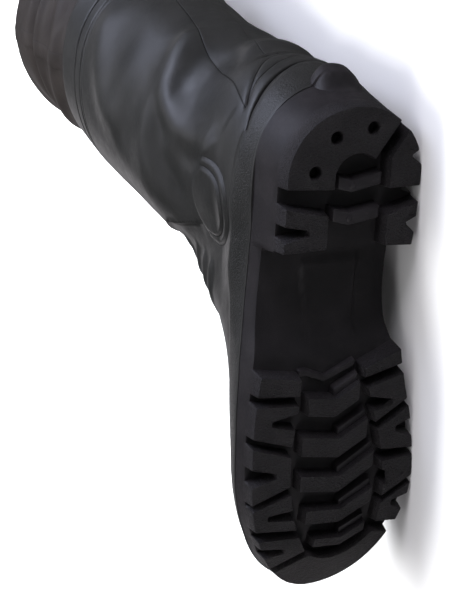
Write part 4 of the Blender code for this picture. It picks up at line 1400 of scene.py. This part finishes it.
def build_insole():
    def floor(y):
        return sole_top(y) + JOINT_GAP

    def roof(y):
        return floor(y) + INSOLE_THICK

    def floor_inset(y):
        return UPPER_WALL - RAND_PROUD + INSOLE_CLEAR

    def roof_inset(y):
        return floor_inset(y) + INSOLE_DRAW

    def add_slab(work):
        add_loft(work, station_rings(floor, roof, floor_inset, roof_inset, INSOLE_WALLS), capped=False)

    insole = tool_object("felt_insole", add_slab)
    keep_places(insole.data)
    smooth(insole.data, INSOLE_SHARP)
    return insole


def leg_ring(z):
    """Oval ring of the leg at a height, evenly spread from the back by the lateral side."""
    turn = -0.5 * math.pi - np.linspace(0.0, 2.0 * math.pi, LEG_COUNT, endpoint=False)
    x = float(along(LEGS, "half_wide", z)) * np.cos(turn)
    y = float(along(LEGS, "centre", z)) + float(along(LEGS, "half_long", z)) * np.sin(turn)
    return np.stack([x, y, np.full(LEG_COUNT, z)], axis=1)


def collar_ring(z):
    """Inside of the collar, spread like the leg's rings."""
    ring = upper_ring(z, -UPPER_WALL - LEG_CLEAR)[:, :3]
    closed = np.concatenate([ring, ring[:1]])
    return spaced(closed, np.linspace(0.0, lengths(closed)[-1], LEG_COUNT, endpoint=False))


def leg_grid():
    """Smooth rings of the leg: inside the collar low down, then over to its own ovals."""
    edge = collar_ring(COLLAR_HEIGHT)
    rings = []
    for z in np.arange(COLLAR_HEIGHT - LEG_TUCK, LEGS[-1].z + LEG_END_SLACK, LEG_STEP):
        if z <= COLLAR_HEIGHT + LEG_LEAVES:
            rings.append(collar_ring(z))
            continue
        share = float(ramp(COLLAR_HEIGHT, LEGS[0].z, z))
        ring = edge * (1.0 - share) + leg_ring(max(z, LEGS[0].z)) * share
        ring[:, 2] = z
        rings.append(ring)
    return np.array(rings)


def build_leg():
    """The coated cloth of the leg, tucked into the collar with slack folds above, and its flat size."""
    grid = leg_grid()
    turn = np.broadcast_to(np.arange(LEG_COUNT) / LEG_COUNT, grid.shape[:2])
    z = grid[:, :, 2]
    free = ramp(*LEG_FREE_Z, z)
    stand = np.zeros(z.shape)
    for row in FOLDS:
        away = (turn - row.turn - row.lean * FOLD_LEAN * (z - row.z) + 0.5) % 1.0 - 0.5
        stand += row.depth * np.exp(-((away / row.half_turn) ** 2) - ((z - row.z) / row.half_z) ** 2)
    stand = free * (stand + LEG_WAVE_PROUD * wave_at(grid, LEG_WAVE_SCALE))
    slit = bump(turn - SLIT_TURN, SLIT_HALF_TURN) * bump(z - COLLAR_HEIGHT - SLIT_RISE, SLIT_HALF_Z)
    stand -= SLIT_DEPTH * slit
    round_at = (turn - TAPE_TURNS[0]) * TAPE_ROUND
    wide = (TAPE_TURNS[1] - TAPE_TURNS[0]) * TAPE_ROUND
    fall = 1.0 - ramp(wide - TAPE_EDGE, wide + TAPE_EDGE, round_at)
    stand += TAPE_PROUD * free * ramp(-TAPE_EDGE, TAPE_EDGE, round_at) * fall
    near = np.abs(round_at) < TAPE_NEAR
    lines = {
        "tape_rear": np.where(near, round_at, LINE_FAR),
        "tape_fore": np.where(near, round_at - wide, LINE_FAR),
        "tape_low": z - TAPE_LOW,
    }
    outer = grid + grid_normals(grid) * stand[:, :, None]
    inner = outer - grid_normals(outer) * LEG_WALL
    loops = np.concatenate([outer, inner[::-1]])
    mesh = mesh_of("cloth_leg", loops.reshape(-1, 3), shell_faces(len(loops), LEG_COUNT))
    keep_places(mesh)
    for name, apart in lines.items():
        keep_share(mesh, name, np.concatenate([apart, np.full(apart.shape, LINE_FAR)]))
    smooth(mesh, LEG_SHARP)
    long_way = np.linalg.norm(np.diff(outer, axis=0), axis=2).sum(axis=0).mean()
    round_way = np.linalg.norm(np.roll(outer, -1, axis=1) - outer, axis=2).sum(axis=1).mean()
    return new_object("cloth_leg", mesh), (round_way * MM, long_way * MM)


# Pips and grains


def fill(tree, made, inputs):
    """Gives a node's inputs their values, or links them to other nodes' sockets."""
    for name, value in inputs.items():
        if isinstance(value, bpy.types.NodeSocket):
            tree.links.new(value, made.inputs[name])
        else:
            made.inputs[name].default_value = value


def node(tree, kind, inputs, **settings):
    made = tree.nodes.new(kind)
    for name, value in settings.items():
        setattr(made, name, value)
    fill(tree, made, inputs)
    return made


def node_tree(name, inputs, output):
    """Geometry node tree with named inputs and an output, and the sockets its inputs come by."""
    tree = bpy.data.node_groups.new(name, "GeometryNodeTree")
    for title, kind in inputs:
        tree.interface.new_socket(title, in_out="INPUT", socket_type="NodeSocket" + kind)
    tree.interface.new_socket(output, in_out="OUTPUT", socket_type="NodeSocketGeometry")
    return tree, tree.nodes.new("NodeGroupInput").outputs


def flattened(tree, mesh, flatness, shift):
    """A small round mesh pressed flat."""
    scale = node(tree, "ShaderNodeCombineXYZ", {"X": 1.0, "Y": 1.0, "Z": flatness})
    inputs = {"Geometry": mesh, "Scale": scale.outputs["Vector"], **shift}
    return node(tree, "GeometryNodeTransform", inputs).outputs["Geometry"]


def set_down(tree, entry, places, output):
    """Ends a tree: instances set on their points, made real and given their finish."""
    place = node(tree, "GeometryNodeInstanceOnPoints", places)
    real = node(tree, "GeometryNodeRealizeInstances", {"Geometry": place.outputs["Instances"]})
    finish = {"Geometry": real.outputs["Geometry"], "Material": entry["Finish"]}
    coat = node(tree, "GeometryNodeSetMaterial", finish)
    node(tree, "NodeGroupOutput", {output: coat.outputs["Geometry"]})
    return tree


def pip_tree():
    """Node tree that sets a flat round pip on every point, turned to the surface and sized by it."""
    inputs = (("Points", "Geometry"), ("Flatness", "Float"), ("Finish", "Material"))
    tree, entry = node_tree("set_pips", inputs, "Pips")
    points = node(tree, "GeometryNodeMeshToPoints", {"Mesh": entry["Points"]})
    ball = node(tree, "GeometryNodeMeshUVSphere", {"Segments": 16, "Rings": 8, "Radius": MM})
    named = "GeometryNodeInputNamedAttribute"
    facing = node(tree, named, {"Name": "facing"}, data_type="FLOAT_VECTOR")
    size = node(tree, named, {"Name": "size"}, data_type="FLOAT")
    way = {"Vector": facing.outputs["Attribute"]}
    turn = node(tree, "FunctionNodeAlignRotationToVector", way, axis="Z")
    places = {
        "Points": points.outputs["Points"],
        "Instance": flattened(tree, ball.outputs["Mesh"], entry["Flatness"], {}),
        "Rotation": turn.outputs["Rotation"],
        "Scale": size.outputs["Attribute"],
    }
    return set_down(tree, entry, places, "Pips")


def set_inputs(step, values):
    """Gives a node modifier its inputs by their names."""
    for item in step.node_group.interface.items_tree:
        if item.item_type == "SOCKET" and item.in_out == "INPUT" and item.name in values:
            step[item.identifier] = values[item.name]


def grown(name, mesh, tree, values):
    """Object whose mesh is what a node tree makes of its points or faces."""
    made = new_object(name, mesh)
    step = made.modifiers.new(tree.name, "NODES")
    step.node_group = tree
    set_inputs(step, values)
    baked(made)
    keep_places(made.data)
    return made


def build_pips(finish):
    points = np.array([(row.x, row.y, float(sole_tread(row.y)) + row.z) for row in TREAD_PIPS])
    mesh = mesh_of("tread_pips", points, [])
    facing = mesh.attributes.new("facing", "FLOAT_VECTOR", "POINT")
    facing.data.foreach_set("vector", np.tile(-TURN[:, 2], len(points)))
    keep_share(mesh, "size", [row.size for row in TREAD_PIPS])
    pips = grown("tread_pips", mesh, pip_tree(), {"Flatness": PIP_FLATNESS, "Finish": finish})
    keep_tread(pips.data)
    smooth(pips.data, PIP_SHARP)
    return pips


def stipple_tree():
    """Node tree that scatters low grains over faces, evenly and always the same way."""
    inputs = [("Band", "Geometry")]
    inputs += [(name, "Float") for name in ("Spacing", "Density", "Radius", "Flatness", "Sink")]
    inputs += [("Seed", "Int"), ("Finish", "Material")]
    tree, entry = node_tree("scatter_grains", inputs, "Grains")
    scatter = {
        "Mesh": entry["Band"],
        "Distance Min": entry["Spacing"],
        "Density Max": entry["Density"],
        "Seed": entry["Seed"],
    }
    points = node(tree, "GeometryNodeDistributePointsOnFaces", scatter, distribute_method="POISSON")
    grain = node(tree, "GeometryNodeMeshIcoSphere", {"Subdivisions": 1, "Radius": entry["Radius"]})
    down = node(tree, "ShaderNodeCombineXYZ", {"Z": entry["Sink"]})
    shift = {"Translation": down.outputs["Vector"]}
    sizes = {2: GRAIN_SIZES[0], 3: GRAIN_SIZES[1], "Seed": entry["Seed"]}
    vary = node(tree, "FunctionNodeRandomValue", sizes, data_type="FLOAT")
    places = {
        "Points": points.outputs["Points"],
        "Rotation": points.outputs["Rotation"],
        "Instance": flattened(tree, grain.outputs["Mesh"], entry["Flatness"], shift),
        "Scale": vary.outputs[1],
    }
    return set_down(tree, entry, places, "Grains")


def build_stipple(grid, arcs, finish):
    """Grains of the rand, scattered over its band."""
    rise = grid[:, :, 2] - sole_top(grid[:, :, 1])
    inside = (rise > GRAINS_FROM) & (rise < rand_rise(arcs) - GRAINS_SHORT)
    quads = ring_faces(*grid.shape[:2])
    kept = quads[inside.ravel()[quads].all(axis=1)]
    mesh = mesh_of("rand_stipple", grid.reshape(-1, 3), kept.tolist())
    grains = grown("rand_stipple", mesh, stipple_tree(), dict(STIPPLE, Finish=finish))
    grains.data.shade_smooth()
    return grains


# Finishes


def shader(name):
    made = bpy.data.materials.new(name)
    made.use_nodes = True
    return made, made.node_tree, made.node_tree.nodes["Principled BSDF"]


def boot_coordinates(tree):
    return node(tree, "ShaderNodeAttribute", {}, attribute_name="boot").outputs["Vector"]


def share_on(tree, name):
    return node(tree, "ShaderNodeAttribute", {}, attribute_name=name).outputs["Fac"]


def speckle(tree, place, scale, detail, roughness=0.5):
    inputs = {"Vector": place, "Scale": scale, "Detail": detail, "Roughness": roughness}
    return node(tree, "ShaderNodeTexNoise", inputs).outputs["Fac"]


def spread(tree, value, low, high, start, stop):
    """Maps a value from one range to another, held at its ends."""
    inputs = {"Value": value, "From Min": low, "From Max": high, "To Min": start, "To Max": stop}
    return node(tree, "ShaderNodeMapRange", inputs).outputs["Result"]


def mixed(tree, share, first, second):
    """Colour between two colours."""
    made = node(tree, "ShaderNodeMix", {}, data_type="RGBA")
    tree.links.new(share, made.inputs["Factor"])
    for name, colour in (("A", first), ("B", second)):
        entry = [s for s in made.inputs if s.name == name and s.type == "RGBA"][0]
        if isinstance(colour, tuple):
            entry.default_value = (*colour, 1.0)
        else:
            tree.links.new(colour, entry)
    return [s for s in made.outputs if s.type == "RGBA"][0]


def relief(tree, height, strength, distance, under=None):
    inputs = {"Height": height, "Strength": strength, "Distance": distance * MM}
    if under is not None:
        inputs["Normal"] = under
    return node(tree, "ShaderNodeBump", inputs).outputs["Normal"]


def reckoned(tree, operation, *values):
    return node(tree, "ShaderNodeMath", dict(enumerate(values)), operation=operation).outputs["Value"]


def line_marks(tree, rows):
    """How far a place lies in one of a piece's dark lines."""
    marks = None
    for row in rows:
        apart = reckoned(tree, "ABSOLUTE", share_on(tree, row.name))
        mark = spread(tree, apart, LINE_CORE * row.half, row.half, row.share, 0.0)
        marks = mark if marks is None else reckoned(tree, "MAXIMUM", marks, mark)
    return marks


def cut_in(tree, marks, strength, distance, under):
    """Relief that sinks a piece's dark lines."""
    return relief(tree, spread(tree, marks, 0.0, 1.0, 1.0, 0.0), strength, distance, under)


def upper_finish():
    """Satin PVC: soft mottling, fine grain, a few pale scuffs, and moulded lines darkened with painted
    shade and some grime.
    """
    made, tree, face = shader("upper_olive_grey")
    place = boot_coordinates(tree)
    mottle = speckle(tree, place, 0.035, 5.0)
    scuff = speckle(tree, place, 0.16, 8.0, 0.68)
    worn = mixed(tree, spread(tree, mottle, 0.35, 0.68, 0.0, 1.0), OLIVE, OLIVE_WORN)
    dusty = mixed(tree, spread(tree, scuff, 0.60, 0.78, 0.0, 0.45), worn, OLIVE_DUST)
    # Painted shade, with some grime, darkens the grooves, cuts and edges.
    marks = line_marks(tree, LINES)
    fine = relief(tree, speckle(tree, place, 2.2, 3.0), 0.25, 0.12)
    broad = relief(tree, speckle(tree, place, 0.11, 3.0), 0.22, 1.2, fine)
    leather = reckoned(tree, "MULTIPLY", speckle(tree, place, 0.9, 3.0), share_on(tree, "stipple"))
    grained = relief(tree, leather, 0.8, 0.55, broad)
    looks = {
        "Base Color": mixed(tree, marks, dusty, OLIVE_GRIME_AND_SHADE),
        "Roughness": spread(tree, scuff, 0.3, 0.75, 0.33, 0.48),
        "Specular IOR Level": spread(tree, marks, 0.0, 1.0, 0.36, 0.02),
        "Coat Weight": 0.12,
        "Coat Roughness": 0.28,
        "Normal": cut_in(tree, marks, 0.7, 0.6, grained),
    }
    fill(tree, face, looks)
    return made


def sole_finish():
    """Black PVC: duller than the upper, grainy on the tread, with dusty patches, a toe painted paler as
    caught light and partly dust, and painted shade in the hollows.
    """
    made, tree, face = shader("outsole_black")
    place = boot_coordinates(tree)
    mottle = speckle(tree, place, 0.05, 6.0)
    scuff = speckle(tree, place, 0.35, 9.0, 0.7)
    worn = mixed(tree, spread(tree, mottle, 0.38, 0.7, 0.0, 1.0), BLACK, BLACK_WORN)
    dusty = mixed(tree, spread(tree, scuff, 0.58, 0.80, 0.0, 0.5), worn, BLACK_DUST_AND_LIGHT)
    # Painted shade in the hollows that face down into the sole.
    deep = spread(tree, share_on(tree, "hollow"), 0.0, 1.0, 0.0, 0.5)
    # The toe is painted paler: partly dust, partly painted light it would catch from below.
    toe_dust_and_light_share = spread(tree, share_on(tree, "toe_dust_and_light"), 0.0, 1.0, 0.0, 0.6)
    shaded = mixed(tree, deep, dusty, BLACK_HOLLOW_SHADE)
    tread = share_on(tree, "tread")
    fine = relief(tree, speckle(tree, place, 1.6, 4.0), 0.30, 0.25)
    coarse = reckoned(tree, "MULTIPLY", speckle(tree, place, 0.8, 5.0, 0.62), tread)
    looks = {
        "Base Color": mixed(tree, toe_dust_and_light_share, shaded, BLACK_DUST_AND_LIGHT),
        "Roughness": spread(tree, scuff, 0.3, 0.7, 0.38, 0.60),
        "Specular IOR Level": spread(tree, tread, 0.0, 1.0, 0.26, 0.5),
        "Coat Weight": 0.03,
        "Coat Roughness": 0.35,
        "Normal": relief(tree, coarse, 1.0, 3.2, fine),
    }
    fill(tree, face, looks)
    return made


def cloth_finish():
    """Coated cloth: fine grain and broad puckers under a satin film, dark lines at the seam tape."""
    made, tree, face = shader("leg_cloth_grey")
    place = boot_coordinates(tree)
    mottle = speckle(tree, place, 0.05, 5.0)
    colour = mixed(tree, spread(tree, mottle, 0.35, 0.7, 0.0, 1.0), CLOTH, CLOTH_PALE)
    marks = line_marks(tree, LEG_LINES)
    fine = relief(tree, speckle(tree, place, 1.6, 2.0), 0.3, 0.15)
    broad = relief(tree, speckle(tree, place, 0.12, 4.0), 0.35, 1.2, fine)
    looks = {
        "Base Color": mixed(tree, marks, colour, CLOTH_GRIME),
        "Roughness": spread(tree, mottle, 0.3, 0.7, 0.50, 0.64),
        "Specular IOR Level": 0.30,
        "Coat Weight": 0.03,
        "Normal": cut_in(tree, marks, 0.6, 0.5, broad),
    }
    fill(tree, face, looks)
    return made


def felt_finish():
    made, tree, face = shader("insole_felt")
    fibre = speckle(tree, boot_coordinates(tree), 1.5, 6.0, 0.7)
    looks = {
        "Base Color": mixed(tree, fibre, FELT, FELT_PALE),
        "Roughness": 0.92,
        "Normal": relief(tree, fibre, 0.6, 0.5),
    }
    fill(tree, face, looks)
    return made


# Camera, floor and light


def place_camera():
    data = bpy.data.cameras.new("camera")
    data.lens = CAMERA_LENS
    data.sensor_width = CAMERA_SENSOR
    data.clip_start, data.clip_end = CAMERA_CLIP
    camera = new_object("camera", data)
    axes = np.stack([TURN @ CAMERA_RIGHT, -(TURN @ CAMERA_DOWN), -(TURN @ CAMERA_VIEW)], axis=1)
    matrix = Matrix.Identity(4)
    at = to_row(np.array(CAMERA_AT))
    for i in range(3):
        for j in range(3):
            matrix[i][j] = axes[i, j]
        matrix[i][3] = at[i]
    camera.matrix_world = matrix
    bpy.context.scene.camera = camera


def lay_floor():
    mesh = bpy.data.meshes.new("floor")
    h = FLOOR_HALF
    mesh.from_pydata([(-h, -h, 0.0), (h, -h, 0.0), (h, h, 0.0), (-h, h, 0.0)], [], [(0, 1, 2, 3)])
    floor = new_object("floor", mesh)
    made, tree, face = shader("floor_pale")
    looks = {"Base Color": (*FLOOR_COLOUR, 1.0), "Roughness": 0.9, "Specular IOR Level": 0.1}
    fill(tree, face, looks)
    mesh.materials.append(made)
    floor.visible_glossy = False
    return floor


def light_studio():
    world = bpy.data.worlds.new("studio")
    world.use_nodes = True
    sky = {"Color": (1.0, 1.0, 1.0, 1.0), "Strength": SKY}
    fill(world.node_tree, world.node_tree.nodes["Background"], sky)
    bpy.context.scene.world = world
    for row in LAMPS:
        data = bpy.data.lights.new(row.name, "AREA")
        data.shape = "RECTANGLE"
        data.size, data.size_y = row.size
        data.energy = row.power
        data.color = row.colour
        lamp = new_object(row.name, data)
        lamp.location = row.at
        lamp.rotation_euler = (Vector(row.aim) - Vector(row.at)).to_track_quat("-Z", "Y").to_euler()
        lamp.visible_glossy = row.mirrored
        if row.name == "floor_wash":
            data.spread = WASH_SPREAD
    bpy.context.scene.view_settings.view_transform = "Standard"


def main():
    upper, grid, arcs = build_upper()
    outsole = build_outsole()
    insole = build_insole()
    leg, flat = build_leg()
    olive = upper_finish()
    black = sole_finish()
    cloth = cloth_finish()
    felt = felt_finish()
    pips = build_pips(black)
    stipple = build_stipple(grid, arcs, olive)
    for piece, finish, slot in (
        (upper, olive, "upper"),
        (outsole, black, "outsole"),
        (insole, felt, "insole"),
        (leg, cloth, "leg"),
        (pips, black, "outsole"),
        (stipple, olive, "upper"),
    ):
        piece.data.materials.clear()
        piece.data.materials.append(finish)
        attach(piece, "root")
    for piece, node in ((upper, "upper"), (outsole, "outsole"), (insole, "insole"), (leg, "leg")):
        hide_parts(node)
    lay_floor()
    place_camera()
    light_studio()


main()
